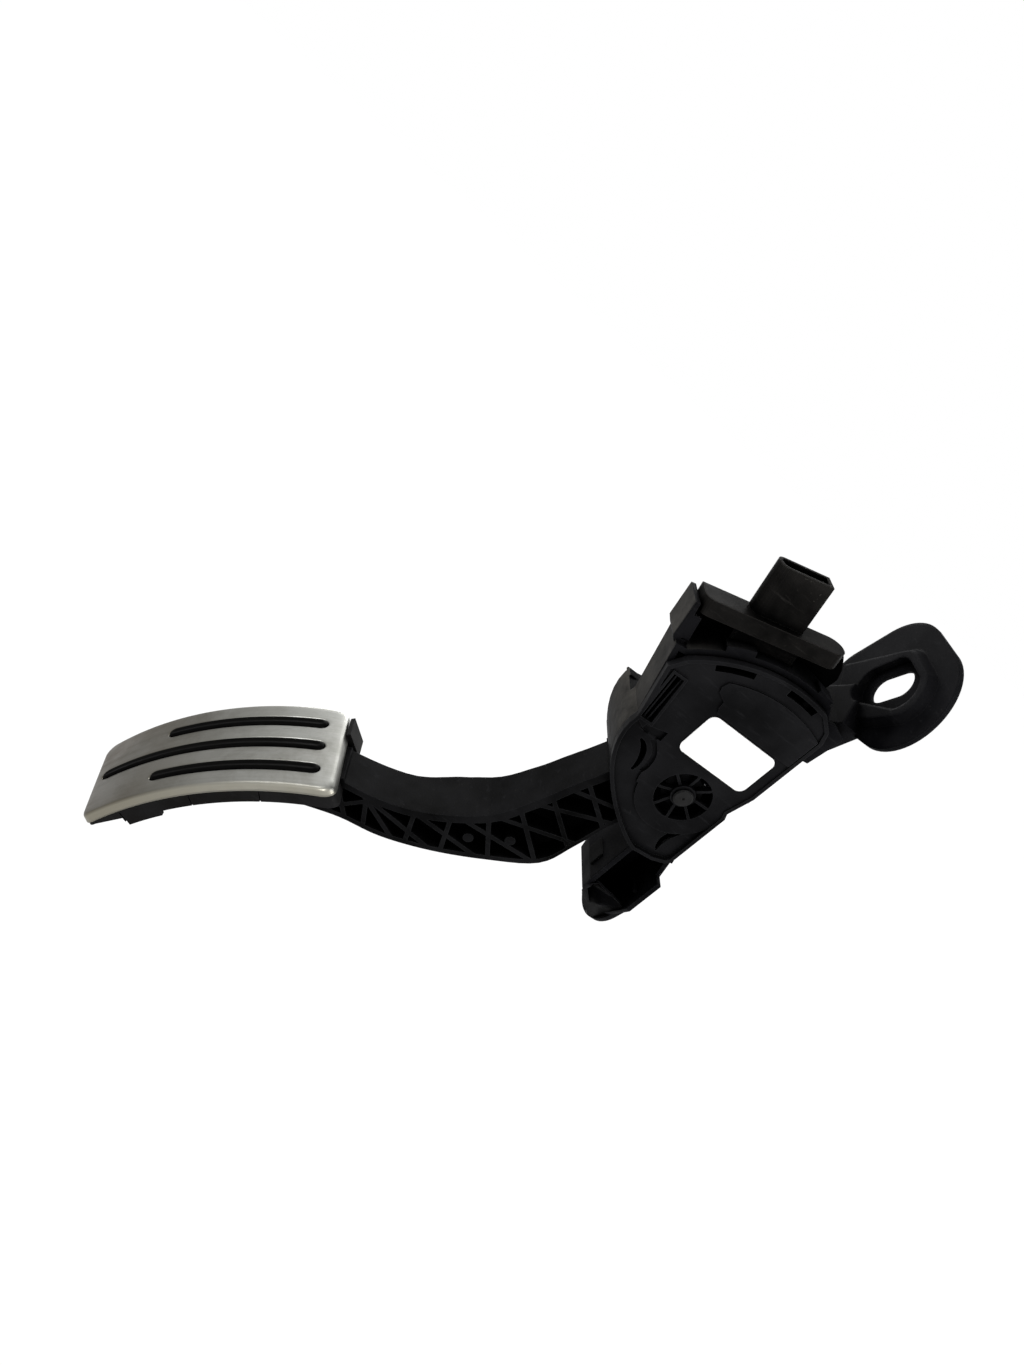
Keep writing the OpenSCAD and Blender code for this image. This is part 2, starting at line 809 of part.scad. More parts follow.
// A coil spring with closed ends, standing on z0.
module coil(r_out, wire, z0, l, turns, hand) {
    n = 14 * turns;
    k = 7;
    r = r_out - wire / 2;
    function rise(s) = wire / 2 + (l - wire) * (s < 0.1 ? s * 0.45 : s > 0.9 ? 1 - (1 - s) * 0.45
        : 0.045 + (s - 0.1) * 0.91 / 0.8);
    pts = [for (i = [0:n]) for (j = [0:k - 1]) let (a = hand * 360 * turns * i / n, b = 360 * j / k)
        [(r + wire / 2 * cos(b)) * cos(a), (r + wire / 2 * cos(b)) * sin(a), rise(i / n) + wire / 2 * sin(b)]];
    sides = [for (i = [0:n - 1]) for (j = [0:k - 1])
        [i * k + j, i * k + (j + 1) % k, (i + 1) * k + (j + 1) % k, (i + 1) * k + j]];
    start = [[for (j = [k - 1:-1:0]) j]];
    finish = [[for (j = [0:k - 1]) n * k + j]];
    translate([spring_x, 0, z0])
        mirror([0, hand > 0 ? 0 : 1, 0])
            polyhedron(hand > 0 ? pts : [for (p = pts) [p[0], -p[1], p[2]]], concat(sides, start, finish));
}
module return_spring_outer() {
    color([0.5, 0.5, 0.52])
        in_place()
            coil(spring_ro - 0.1, wire_o, seat_z, spring_l, 9, 1);
}
module return_spring_inner() {
    color([0.55, 0.55, 0.57])
        in_place()
            coil(spring_ri, wire_i, seat_z, spring_l, 12, 1);
}

// Axes of the tilted sensor: X along the cap towards its front end, Z out of the cap.
module sensor_frame() {
    translate([pivot_x, 0, 0])
        rotate([0, cap_tilt, 0])
            translate([cap_x, 0, cap_z])
                children();
}
module cap_plan(m) {
    offset(r = -m)
        polygon(concat([[-7, 0], [0, 0]], arc([-4, cap_d - 4], 4, 0, 90, 6),
            arc([-cap_l + 5.5, cap_d - 5.5], 5.5, 90, 180, 8), arc([-cap_l + 5.5, 5.5], 5.5, 180, 270, 8)));
}
module plug_plan(m) {
    offset(delta = -m)
        polygon(concat(arc([-22.6, plug_y + plug_d / 2 - 4.6], 4.6, 0, 90, 6),
            [[-18 - plug_w, plug_y + plug_d / 2], [-18 - plug_w, plug_y - plug_d / 2]],
            arc([-21, plug_y - plug_d / 2 + 3], 3, 270, 360, 5)));
}
module sensor_housing() {
    color([0.2, 0.2, 0.2])
        in_place()
            sensor_frame()
                difference() {
                    union() {
                        translate([0, 0, -cap_h])
                            linear_extrude(cap_h)
                                cap_plan(0);
                        translate([0, 0, -e])
                            linear_extrude(plug_h + e)
                                plug_plan(0);
                        translate([-42, body_y, -body_l])
                            cube([26, body_d, body_l - 0.5]);
                    }
                    translate([0, 0, 2])
                        linear_extrude(plug_h)
                            plug_plan(1.4);
                    difference() {
                        translate([0, 0, -cap_h - 1])
                            linear_extrude(cap_h - 0.8)
                                cap_plan(1.6);
                        translate([-43.2, body_y - 1.2, -body_l])
                            cube([28.4, body_d + 2.4, body_l - 0.5]);
                    }
                    translate([-42 + shell_t, body_y + shell_t, -body_l + shell_t])
                        cube([26 - 2 * shell_t, body_d, body_l - 8.5]);
                    for (i = [0:blades - 1])
                        translate([blade_x(i) - 0.8, blade_y - 0.4, -12])
                            cube([1.6, 0.8, 20]);
                }
}
blade_y = body_y + shell_t + 0.4;
function blade_x(i) = -28.6 - (i - (blades - 1) / 2) * 2.6;
module connector_pins() {
    color([0.8, 0.65, 0.35])
        in_place()
            sensor_frame()
                for (i = [0:blades - 1])
                    translate([blade_x(i) - 0.75, blade_y - 0.35, -11.5])
                        cube([1.5, 0.75, 23.5]);
}
module circuit_board() {
    color([0.1, 0.35, 0.2])
        in_place()
            sensor_frame()
                translate([-42 + shell_t + 0.3, blade_y + 0.4, -body_l + shell_t + 0.3])
                    cube([26 - 2 * shell_t - 0.6, board_t, body_l - 9.5]);
}
module hall_chip() {
    color([0.08, 0.08, 0.08])
        in_place()
            sensor_frame()
                translate([-33, blade_y + 0.4 + board_t, -body_l + 3.5])
                    cube([8, 1.1, 6]);
}
module sensor_lid() {
    color([0.18, 0.18, 0.18])
        in_place()
            sensor_frame()
                translate([-42 + shell_t + 0.1, body_y + body_d - 0.9, -body_l + shell_t + 0.1])
                    cube([26 - 2 * shell_t - 0.2, 0.9, body_l - 8.9]);
}

module foot_sleeve() {
    color([0.7, 0.7, 0.72])
        in_place()
            translate([0, foot_hole[0], foot_hole[1]])
                rotate([0, 90, 0])
                    difference() {
                        cylinder(r = sleeve_bore / 2 + sleeve_wall, h = sleeve_l);
                        translate([0, 0, -1])
                            cylinder(r = sleeve_bore / 2, h = sleeve_l + 2);
                    }
}
module stop_pad() {
    color([0.09, 0.09, 0.09])
        in_place()
            slab(-8, 2)
                polygon([[27.4, -59.4], [28.2, -58.6], [28.2, -52.2], [27.4, -51.4]]);
}
module rest_bumper() {
    color([0.09, 0.09, 0.09])
        in_place()
            slab(-7, 9)
                polygon([[58.1, -5.6], [58.74, -5.6], [62, -11], [60.5, -11]]);
}

module pad_plate() {
    color([0.72, 0.71, 0.69])
        in_place()
            difference() {
                pad_layer(pad_r - lip, pad_r, 0);
                pad_layer(pad_r - lip - 1, pad_r - plate_t, plate_t);
                for (s = strips)
                    pad_strip(s[0], s[1], s[2], slot_w, pad_r - 3, pad_r + 2);
            }
}
module pad_mat() {
    color([0.1, 0.1, 0.1])
        in_place() {
            pad_layer(mat_in, mat_out, plate_t + 0.4);
            for (s = strips)
                pad_strip(s[0], s[1], s[2], slot_w - 2 * mat_gap, mat_in, pad_r + bar_proud);
        }
}
// Moulded tray under the rubber: a sheet inside the plate's edge and a skirt below it round the arm's head.
module pad_tray() {
    pad_layer(head_out, mat_in - seat_gap, plate_t + 0.8);
    difference() {
        pad_layer(skirt_in, pad_r - lip - 0.3, 0.6);
        pad_layer(skirt_in - 3, head_out, skirt_t + 0.6);
        slab(-40, 40)
            polygon([pad_point(110, -14), pad_point(110, 26.2), pad_point(pad_r - 7.8, 26.2),
                pad_point(pad_r - 5.6, 21.3), pad_point(pad_r - 4.6, 12), pad_point(pad_r, -6)]);
    }
    difference() {
        intersection() {
            pad_layer(skirt_in - 2, head_out, 0.6);
            slab(16, 30)
                polygon([[pad_cx, pad_cz], pad_point(160, 26.4), pad_point(160, 33)]);
        }
        pad_layer(skirt_in - 3, head_out, skirt_t + 0.6);
    }
}
// Tab that stands up beyond the plate at its root end.
module root_tab() {
    pad_frame()
        translate([-pad_root - 1.1, -21, root_z - 12]) {
            cube([1.8, 11.4, 12]);
            cube([3.6, 11.4, 7.2]);
        }
}
module pad_carrier() {
    color([0.14, 0.14, 0.14])
        in_place()
            difference() {
                union() {
                    pad_tray();
                    root_tab();
                }
                slab(-9.4, arm_w / 2 + 0.8)
                    difference() {
                        polygon([[100, -60], [149, -60], [149, -120], [100, -120]]);
                        translate([pad_cx, pad_cz])
                            difference() {
                                circle(r = 200);
                                circle(r = head_out);
                            }
                    }
                for (a = [26.4, 38.9, 50.5])
                    slab(pad_w / 2 - 1.2, pad_w / 2)
                        bar(pad_point(pad_r - 14, a), pad_point(pad_r - lip - 1, a), 0.5);
            }
}
function pad_point(r, a) = [pad_cx + r * cos(a), pad_cz + r * sin(a)];

housing();
side_cover();
id_label();
pivot_pin();
bush_near();
bush_far();
pedal_arm();
magnet();
spring_cup();
spring_cap();
return_spring_outer();
return_spring_inner();
sensor_housing();
sensor_lid();
circuit_board();
hall_chip();
connector_pins();
foot_sleeve();
stop_pad();
rest_bumper();
pad_plate();
pad_mat();
pad_carrier();
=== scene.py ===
"""Looks for the accelerator pedal: finishes for the moulded, stamped and turned pieces, and the formed
sheet, the rubber bars and the coil springs as smooth surfaces. Lengths in the shape code are in mm."""

import logging
import math
from dataclasses import dataclass, field
from enum import Enum

import bmesh
import bpy
import numpy as np
from mathutils import Matrix, Vector
from mathutils.geometry import delaunay_2d_cdt


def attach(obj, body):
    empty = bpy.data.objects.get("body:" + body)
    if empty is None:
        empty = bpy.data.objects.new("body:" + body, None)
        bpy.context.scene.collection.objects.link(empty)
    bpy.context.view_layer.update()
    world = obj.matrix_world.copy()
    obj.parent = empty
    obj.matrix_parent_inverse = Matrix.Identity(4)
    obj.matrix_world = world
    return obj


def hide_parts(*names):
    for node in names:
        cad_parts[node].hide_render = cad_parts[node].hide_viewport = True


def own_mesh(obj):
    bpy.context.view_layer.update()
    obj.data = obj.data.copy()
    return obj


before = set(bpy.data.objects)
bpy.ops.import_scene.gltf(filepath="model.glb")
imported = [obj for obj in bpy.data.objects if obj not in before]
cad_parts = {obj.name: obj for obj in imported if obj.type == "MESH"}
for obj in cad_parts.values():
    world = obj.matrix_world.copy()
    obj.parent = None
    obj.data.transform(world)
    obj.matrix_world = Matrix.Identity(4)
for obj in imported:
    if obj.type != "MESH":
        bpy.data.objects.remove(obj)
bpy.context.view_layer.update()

MM = 0.001
LOG = logging.getLogger("pedal")
Pair = tuple[float, float]
Triple = tuple[float, float, float]
Colour = Triple
Array = np.ndarray
Piece = bpy.types.Object
Socket = bpy.types.NodeSocket
Material = bpy.types.Material


class Body(Enum):
    """The two bodies that pieces ride on."""

    BASE = "base"
    PEDAL = "pedal"


def linear(*screen: int) -> Colour:
    """Turn a colour seen on screen into light values.

    Args:
        *screen: Red, green and blue from 0 to 255.

    Returns:
        The same colour as linear light, by the usual screen curve.
    """
    seen = np.array(screen) / 255.0
    light = np.where(seen <= 0.04045, seen / 12.92, ((seen + 0.055) / 1.055) ** 2.4)
    return tuple(float(v) for v in light)


def placed(name: str, data: bpy.types.ID) -> Piece:
    """Make an object and put it in the scene.

    Args:
        name: Its name.
        data: Its mesh, light or camera.

    Returns:
        The new object.
    """
    piece = bpy.data.objects.new(name, data)
    bpy.context.scene.collection.objects.link(piece)
    return piece


# Materials


@dataclass(frozen=True)
class Cloud:
    """Cloudy noise made a mask: its cells a metre, and the noise values at which the mask is 0 and 1."""

    cells: float
    low: float
    high: float
    detail: float
    rough: float
    swirl: float = 0


class Nodes:
    """A tree of nodes, with short ways to add and join them."""

    def __init__(self, tree: bpy.types.NodeTree) -> None:
        """Hold the tree.

        Args:
            tree: Node tree of a material or of the world.
        """
        self.tree = tree

    def add(self, kind: str, inputs: dict | None = None, **settings: object) -> bpy.types.Node:
        """Add a node.

        Args:
            kind: Node type without its ShaderNode prefix.
            inputs: Socket names or numbers with a value or an output to join.
            **settings: Attributes of the node.

        Returns:
            The new node.
        """
        node = self.tree.nodes.new("ShaderNode" + kind)
        for key, value in settings.items():
            setattr(node, key, value)
        for key, value in (inputs or {}).items():
            self.put(node.inputs[key], value)
        return node

    def put(self, socket: Socket, value: object) -> None:
        """Set a socket to a value, or join an output to it.

        Args:
            socket: The input socket.
            value: A number, a colour or another node's output.
        """
        if isinstance(value, Socket):
            self.tree.links.new(value, socket)
        elif socket.type == "RGBA" and len(value) == 3:
            socket.default_value = (*value, 1.0)
        else:
            socket.default_value = value

    def calc(self, way: str, first: object, second: object = 0.0) -> Socket:
        """Join two values by arithmetic.

        Args:
            way: Operation, such as MULTIPLY.
            first: First value.
            second: Second value.

        Returns:
            The result.
        """
        return self.add("Math", {0: first, 1: second}, operation=way).outputs[0]

    def times(self, first: object, *others: object) -> Socket:
        """Multiply values.

        Args:
            first: First value.
            *others: The values that it is multiplied by, in order.

        Returns:
            The product.
        """
        for other in others:
            first = self.calc("MULTIPLY", first, other)
        return first


class Graph(Nodes):
    """One material's nodes."""

    def __init__(self, name: str) -> None:
        """Start a material with a shader and object coordinates.

        Args:
            name: Name of the material.
        """
        self.material = bpy.data.materials.new(name)
        self.material.use_nodes = True
        super().__init__(self.material.node_tree)
        self.shader = self.tree.nodes["Principled BSDF"]
        self.place = self.add("TexCoord").outputs["Object"]

    def stretched(self, scale: tuple, turn: tuple = (0, 0, 0), source: object = None) -> Socket:
        """Coordinates scaled and turned, for streaks and brushing.

        Args:
            scale: Scale along each axis.
            turn: Turn about each axis in radians.
            source: Coordinates to start from, or None for the object's own.

        Returns:
            The vector output.
        """
        node = self.add("Mapping", {"Vector": source or self.place, "Scale": scale, "Rotation": turn})
        return node.outputs["Vector"]

    def noise(self, scale: float, detail: float, rough: float, place: object = None,
              distort: float = 0) -> Socket:
        """Cloudy noise.

        Args:
            scale: Cells per metre.
            detail: Number of finer layers.
            rough: Share of the finer layers.
            place: Coordinates, or None for the object's own.
            distort: How much the pattern swirls.

        Returns:
            The grey output.
        """
        node = self.add("TexNoise", {"Vector": place or self.place, "Scale": scale, "Detail": detail,
                                     "Roughness": rough, "Distortion": distort})
        return node.outputs["Fac"]

    def span(self, value: object, low: float, high: float, out_low: float = 0,
             out_high: float = 1) -> Socket:
        """Map a range of values to another, held at its ends.

        Args:
            value: The output to map.
            low: Value that gives out_low.
            high: Value that gives out_high.
            out_low: Result at and below low.
            out_high: Result at and above high.

        Returns:
            The mapped output.
        """
        node = self.add("MapRange", {"Value": value, "From Min": low, "From Max": high,
                                     "To Min": out_low, "To Max": out_high})
        return node.outputs["Result"]

    def blend(self, share: object, first: object, second: object) -> Socket:
        """Mix two colours.

        Args:
            share: How much of the second, a number or an output.
            first: First colour.
            second: Second colour.

        Returns:
            The mixed colour.
        """
        node = self.add("Mix", {0: share, 6: first, 7: second}, data_type="RGBA")
        return node.outputs[2]

    def cloud(self, kind: Cloud, place: object = None) -> Socket:
        """A mask of cloudy patches.

        Args:
            kind: The noise and the values of it that bound the patches.
            place: Coordinates, or None for the object's own.

        Returns:
            The mask, from 0 to 1.
        """
        grey = self.noise(kind.cells, kind.detail, kind.rough, place, kind.swirl)
        return self.span(grey, kind.low, kind.high)

    def sheet(self) -> Socket:
        """The flat coordinates that a formed piece carries.

        Returns:
            The vector output, in metres along and across the sheet.
        """
        return self.add("UVMap", uv_map="sheet").outputs["UV"]

    def dot(self, first: object, second: object) -> Socket:
        """How far two directions agree.

        Args:
            first: First direction.
            second: Second direction.

        Returns:
            Their dot product.
        """
        return self.add("VectorMath", {0: first, 1: second}, operation="DOT_PRODUCT").outputs["Value"]

    def rounded(self, radius_mm: float) -> Socket:
        """Normals that round off the edges of a moulding.

        Args:
            radius_mm: Radius of the rounding.

        Returns:
            The rounded normal.
        """
        node = self.add("Bevel", {"Radius": radius_mm * MM}, samples=4)
        return node.outputs["Normal"]

    def edges(self, radius_mm: float, gain: float) -> Socket:
        """A mask of the edges: one less the agreement between the rounded and the true normal.

        Args:
            radius_mm: Radius of the rounding.
            gain: How fast the mask rises.

        Returns:
            The mask, from 0 on a face to 1 on an edge.
        """
        true = self.add("NewGeometry").outputs["Normal"]
        return self.span(self.dot(self.rounded(radius_mm), true), 1.0, 1.0 - 1.0 / gain)

    def unshaded_share(self, reach_mm: float, low: float, high: float) -> Socket:
        """How open a point is, for the painted shade in deep pockets, where little light reaches.

        Args:
            reach_mm: How far to look for the piece's own walls.
            low: Openness that counts as shut.
            high: Openness that counts as open.

        Returns:
            The share, from 0 in a deep pocket to 1 on an open face.
        """
        near = self.add("AmbientOcclusion", {"Distance": reach_mm * MM}, samples=6)
        return self.span(near.outputs["AO"], low, high)

    def bump(self, height: Socket, depth_mm: float, strength: float, normal: object = None) -> Socket:
        """Fine relief.

        Args:
            height: Height from 0 to 1.
            depth_mm: Depth for a height of 1.
            strength: Share of the effect.
            normal: Normal to start from.

        Returns:
            The new normal.
        """
        inputs = {"Height": height, "Distance": depth_mm * MM, "Strength": strength}
        if normal is not None:
            inputs["Normal"] = normal
        return self.add("Bump", inputs).outputs["Normal"]

    def finish(self, **sockets: object) -> Material:
        """Set the shader's sockets.

        Args:
            **sockets: Socket names, with _ for a space, and their values or outputs.

        Returns:
            The finished material.
        """
        for name, value in sockets.items():
            self.put(self.shader.inputs[name.replace("_", " ")], value)
        return self.material


GRAIN_CELLS = 0.6
GLOSS_CELLS = 120
MOULDED_GLOSS = np.array([-0.07, 0.08])
TURNED_GLOSS = np.array([-0.1, 0.12])
SHEET_GLOSS = np.array([-0.06, 0.2])
FLOW_STRETCH = (1.0, 3.0, 9.0)
FLOW_TURN = (0.2, 0.5, 0.1)
HIGHLIGHT_GAIN = 6.0
TONE_SPREAD = 0.28
STREAK_SHARE = 0.35
PAINTED_SHADE_TONE = 0.12
BROAD_TONE = Cloud(38, 0.35, 0.65, 4, 0.55)
FLOW_STREAK = Cloud(60, 0.58, 0.72, 5, 0.7)
DUST_SPECK = Cloud(900, 0.66, 0.76, 3, 0.7)
DUST_PATCH = Cloud(55, 0.52, 0.68, 3, 0.6, 0.4)
LIT_CLOUD = Cloud(70, 0.2, 0.7, 5, 0.7)
LIT_FACING = (0.6, 0.95)
LIT_FADE = 0.03


@dataclass(frozen=True)
class Moulded:
    """A moulded plastic or rubber: colour, fine spark-eroded grain, flow marks, painted edge highlights,
    dust, painted shade in pockets and a painted paler tone on faces that look along lit_way.
    """

    name: str
    colour: Colour
    light: Colour
    gloss: float = 0.5
    shine: float = 0.035
    grain_mm: float = 0.45
    grain_depth: float = 0.035
    edge_radius: float = 0.45
    # Radius of the edge mask, and the share of the painted highlight laid on edges.
    highlight_radius: float = 0.45
    edge_highlight: float = 0.7
    dust: float = 0.15
    dust_and_lit_colour: Colour = (0.18, 0.17, 0.15)
    # Painted shade in pockets: how far to look for walls, and the openness range that it fades over.
    shade_reach: float = 14.0
    shade_open: Pair = (0.3, 0.8)
    # Painted light: the way that lit faces look, where it starts along X, and its share.
    lit_way: Triple = (0.0, 0.0, 1.0)
    lit_from: float = -1.0
    film: float = 0.0

    def painted_facing_light(self, graph: Graph) -> Socket:
        """Where painted light falls: a paler tone on faces that look along lit_way, past a distance from the
        wall.

        Args:
            graph: The material's nodes.

        Returns:
            The painted light's share, broken up by cloudy noise.
        """
        normal = graph.add("NewGeometry").outputs["Normal"]
        facing = graph.dot(normal, self.lit_way)
        reach = graph.add("SeparateXYZ", {"Vector": graph.place}).outputs["X"]
        past = graph.span(reach, self.lit_from, self.lit_from + LIT_FADE)
        return graph.times(graph.span(facing, *LIT_FACING), past, graph.cloud(LIT_CLOUD), self.film)

    def build(self) -> Material:
        """Make the material.

        Returns:
            A material whose grain is noise at grain_mm and whose colour wanders between two tones, with
            a painted highlight on its edges, faint streaks, specks of dust, a painted paler tone on faces
            turned along lit_way where film is set, and painted shade in pockets.
        """
        graph = Graph(self.name)
        soft = graph.rounded(self.edge_radius)
        edge = graph.edges(self.highlight_radius, HIGHLIGHT_GAIN)
        grain = graph.noise(GRAIN_CELLS / (self.grain_mm * MM), 2, 0.6)
        streak = graph.cloud(FLOW_STREAK, graph.stretched(FLOW_STRETCH, FLOW_TURN))
        second = tuple((1 - TONE_SPREAD) * a + TONE_SPREAD * b for a, b in zip(self.colour, self.light))
        colour = graph.blend(graph.cloud(BROAD_TONE), self.colour, second)
        colour = graph.blend(graph.times(streak, STREAK_SHARE), colour, self.light)
        # Painted highlight: the edges are lightened toward the light colour.
        colour = graph.blend(graph.times(edge, self.edge_highlight), colour, self.light)
        dusty = graph.times(graph.cloud(DUST_SPECK), graph.cloud(DUST_PATCH), self.dust)
        colour = graph.blend(dusty, colour, self.dust_and_lit_colour)
        # Painted light: faces turned along lit_way are paled toward the dust colour in cloudy patches.
        if self.film:
            colour = graph.blend(self.painted_facing_light(graph), colour, self.dust_and_lit_colour)
        # Painted shade: the less open a point is, the nearer its colour comes to a dark copy of it.
        shut = tuple(PAINTED_SHADE_TONE * c for c in self.colour)
        colour = graph.blend(graph.unshaded_share(self.shade_reach, *self.shade_open), shut, colour)
        rough = graph.span(graph.noise(GLOSS_CELLS, 4, 0.6), 0.3, 0.7, *(self.gloss + MOULDED_GLOSS))
        normal = graph.bump(grain, self.grain_depth, 0.8, soft)
        return graph.finish(Base_Color=colour, Roughness=rough, Normal=normal, Specular_IOR_Level=self.shine)


TARNISH = Cloud(160, 0.45, 0.7, 5, 0.65)
TARNISH_SHARE = 0.6
LINE_SHARE = 0.25
LINE_TONE = 0.6


@dataclass(frozen=True)
class TurnedMetal:
    """A turned, ground or plated metal part with fine tool lines and tarnish."""

    name: str
    colour: Colour
    tarnish: Colour
    gloss: float = 0.35
    edge_radius: float = 0.25
    lines: Triple = (40.0, 900.0, 40.0)

    def build(self) -> Material:
        """Make the material.

        Returns:
            A metal whose tool lines are noise stretched by lines, with patches of tarnish.
        """
        graph = Graph(self.name)
        soft = graph.rounded(self.edge_radius)
        lines = graph.noise(1.0, 4, 0.7, graph.stretched(self.lines))
        colour = graph.blend(graph.times(graph.cloud(TARNISH), TARNISH_SHARE), self.colour, self.tarnish)
        line_tone = tuple(LINE_TONE * c for c in self.colour)
        colour = graph.blend(graph.times(lines, LINE_SHARE), colour, line_tone)
        rough = graph.span(lines, 0.3, 0.7, *(self.gloss + TURNED_GLOSS))
        normal = graph.bump(lines, 0.01, 0.5, soft)
        return graph.finish(Base_Color=colour, Roughness=rough, Metallic=1.0, Normal=normal)


SCUFF = Cloud(22, 0.42, 0.66, 6, 0.7, 0.3)
TIP_REFLECTION_CLOUD = Cloud(30, 0.38, 0.62, 4, 0.6)
SCRATCHES = ((14.0, 0.55, 0.64), (20.0, -0.4, 0.66), (11.0, 1.35, 0.66), (26.0, 0.12, 0.63))
SCRATCH_STRETCH = 22
LIP_HIGHLIGHT_FROM = (0.0246, 0.0268)
TIP_REFLECTION_FROM = (0.005, 0.05)
TIPWARD_DARK_FROM = (-0.035, 0.025)


@dataclass(frozen=True)
class BrushedSheet:
    """The pad's face: brushed sheet, scratched across and dulled by shoes, darker towards its tip."""

    name: str = "pad_metal"
    bright: Colour = linear(160, 161, 157)
    dull: Colour = linear(70, 67, 58)
    warm_reflection: Colour = linear(66, 56, 40)
    # Colour of the painted highlight on the pad's side bends.
    lip: Colour = linear(158, 154, 140)
    scratched: Colour = linear(74, 72, 68)
    gloss: float = 0.34
    tipward_dark_share: float = 0.95
    scuff_share: float = 0.55
    warm_reflection_share: float = 0.75
    lip_highlight_share: float = 0.6
    scratch_share: float = 0.5

    def build(self) -> Material:
        """Make the material.

        Returns:
            A metal with brush lines along the sheet's own lengthwise coordinate, fine scratches in four
            directions, scuffed patches, darker towards the tip, a painted highlight on the side bends and a
            painted warm reflection near the tip.
        """
        graph = Graph(self.name)
        sheet = graph.sheet()
        brush = graph.noise(1.0, 5, 0.75, graph.stretched((9.0, 420.0, 1.0), source=sheet))
        fine = graph.noise(1.0, 3, 0.6, graph.stretched((30.0, 1600.0, 1.0), source=sheet))
        scuff = graph.cloud(SCUFF, sheet)
        marks = [graph.cloud(Cloud(1.0, low, low + 0.05, 6, 0.8),
                             graph.stretched((size, size * SCRATCH_STRETCH, 1), (0, 0, turn), sheet))
                 for size, turn, low in SCRATCHES]
        scratch = marks[0]
        for mark in marks[1:]:
            scratch = graph.calc("MAXIMUM", scratch, mark)
        spread = graph.add("SeparateXYZ", {"Vector": sheet})
        along = spread.outputs["X"]
        lip = graph.span(graph.calc("ABSOLUTE", spread.outputs["Y"]), *LIP_HIGHLIGHT_FROM)
        tip = graph.span(along, *TIP_REFLECTION_FROM)
        worn = graph.span(along, *TIPWARD_DARK_FROM)
        second = tuple((a + b) / 2 for a, b in zip(self.bright, self.dull))
        colour = graph.blend(brush, self.bright, second)
        # Darker towards the tip, by place along the sheet.
        colour = graph.blend(graph.times(worn, self.tipward_dark_share), colour, self.dull)
        colour = graph.blend(graph.times(scuff, self.scuff_share), colour, self.dull)
        # Painted reflection: a warm brown in cloudy patches near the tip.
        colour = graph.blend(graph.times(tip, graph.cloud(TIP_REFLECTION_CLOUD), self.warm_reflection_share), colour, self.warm_reflection)
        # Painted highlight: the rounded bends along the pad's sides are paled.
        colour = graph.blend(graph.times(lip, self.lip_highlight_share), colour, self.lip)
        colour = graph.blend(graph.times(scratch, self.scratch_share), colour, self.scratched)
        both = graph.calc("ADD", graph.times(brush, 0.5), graph.times(scuff, 0.5))
        rough = graph.span(both, 0.2, 0.8, *(self.gloss + SHEET_GLOSS))
        relief = graph.calc("ADD", graph.times(fine, 0.5), graph.times(scratch, -0.8))
        normal = graph.bump(relief, 0.02, 0.7)
        return graph.finish(Base_Color=colour, Roughness=rough, Metallic=1.0, Normal=normal)


RUBBED = Cloud(90, 0.35, 0.7, 5, 0.65)


@dataclass(frozen=True)
class BarRubber:
    """The rubber of the pad's bars: matt, and rubbed greyer in lines and patches."""

    name: str = "pad_rubber"
    colour: Colour = linear(2, 2, 2)
    worn: Colour = linear(26, 25, 24)
    shine: float = 0.014
    line_share: float = 0.3
    rubbed_share: float = 0.25
    gloss: Pair = (0.55, 0.72)

    def build(self) -> Material:
        """Make the material.

        Returns:
            Rubber whose worn tone follows fine lines along the bars and cloudy patches.
        """
        graph = Graph(self.name)
        lines = graph.noise(1.0, 4, 0.6, graph.stretched((12.0, 700.0, 1.0), source=graph.sheet()))
        cloud = graph.cloud(RUBBED)
        along = graph.times(graph.span(lines, 0.4, 0.7), self.line_share)
        colour = graph.blend(along, self.colour, self.worn)
        colour = graph.blend(graph.times(cloud, self.rubbed_share), colour, self.worn)
        grain = graph.noise(1600, 3, 0.6)
        rough = graph.span(cloud, 0.0, 1.0, *self.gloss)
        normal = graph.bump(graph.calc("ADD", grain, lines), 0.03, 0.7)
        return graph.finish(Base_Color=colour, Roughness=rough, Normal=normal, Specular_IOR_Level=self.shine)


HANDLED = Cloud(130, 0.55, 0.75, 6, 0.7)


@dataclass(frozen=True)
class Film:
    """A white printed-stock film label with nothing on it."""

    name: str = "label_film"
    white: Colour = (0.93, 0.93, 0.92)
    fibre: Colour = (0.86, 0.86, 0.85)
    mark: Colour = (0.7, 0.69, 0.66)
    fibre_share: float = 0.3
    mark_share: float = 0.2

    def build(self) -> Material:
        """Make the material.

        Returns:
            A white film with a faint coat, very fine fibre and soft handling marks.
        """
        graph = Graph(self.name)
        fibre = graph.noise(2600, 3, 0.6)
        colour = graph.blend(graph.times(fibre, self.fibre_share), self.white, self.fibre)
        colour = graph.blend(graph.times(graph.cloud(HANDLED), self.mark_share), colour, self.mark)
        normal = graph.bump(fibre, 0.01, 0.4)
        return graph.finish(Base_Color=colour, Roughness=0.42, Normal=normal, Specular_IOR_Level=0.4)


@dataclass(frozen=True)
class Laminate:
    """Glass-fibre board under green lacquer, with the weave showing through."""

    name: str = "board_laminate"

    def build(self) -> Material:
        """Make the material.

        Returns:
            Green lacquer over two crossed waves of weave.
        """
        graph = Graph(self.name)
        weave = [graph.add("TexWave", {"Vector": graph.stretched((1, 1, 1), (0, 0, turn)), "Scale": 520.0,
                                       "Distortion": 0.6}).outputs["Fac"] for turn in (0.0, math.pi / 2)]
        cross = graph.times(*weave)
        colour = graph.blend(cross, linear(14, 66, 38), linear(28, 92, 54))
        return graph.finish(Base_Color=colour, Roughness=0.32, Normal=graph.bump(cross, 0.01, 0.5))


# Shapes

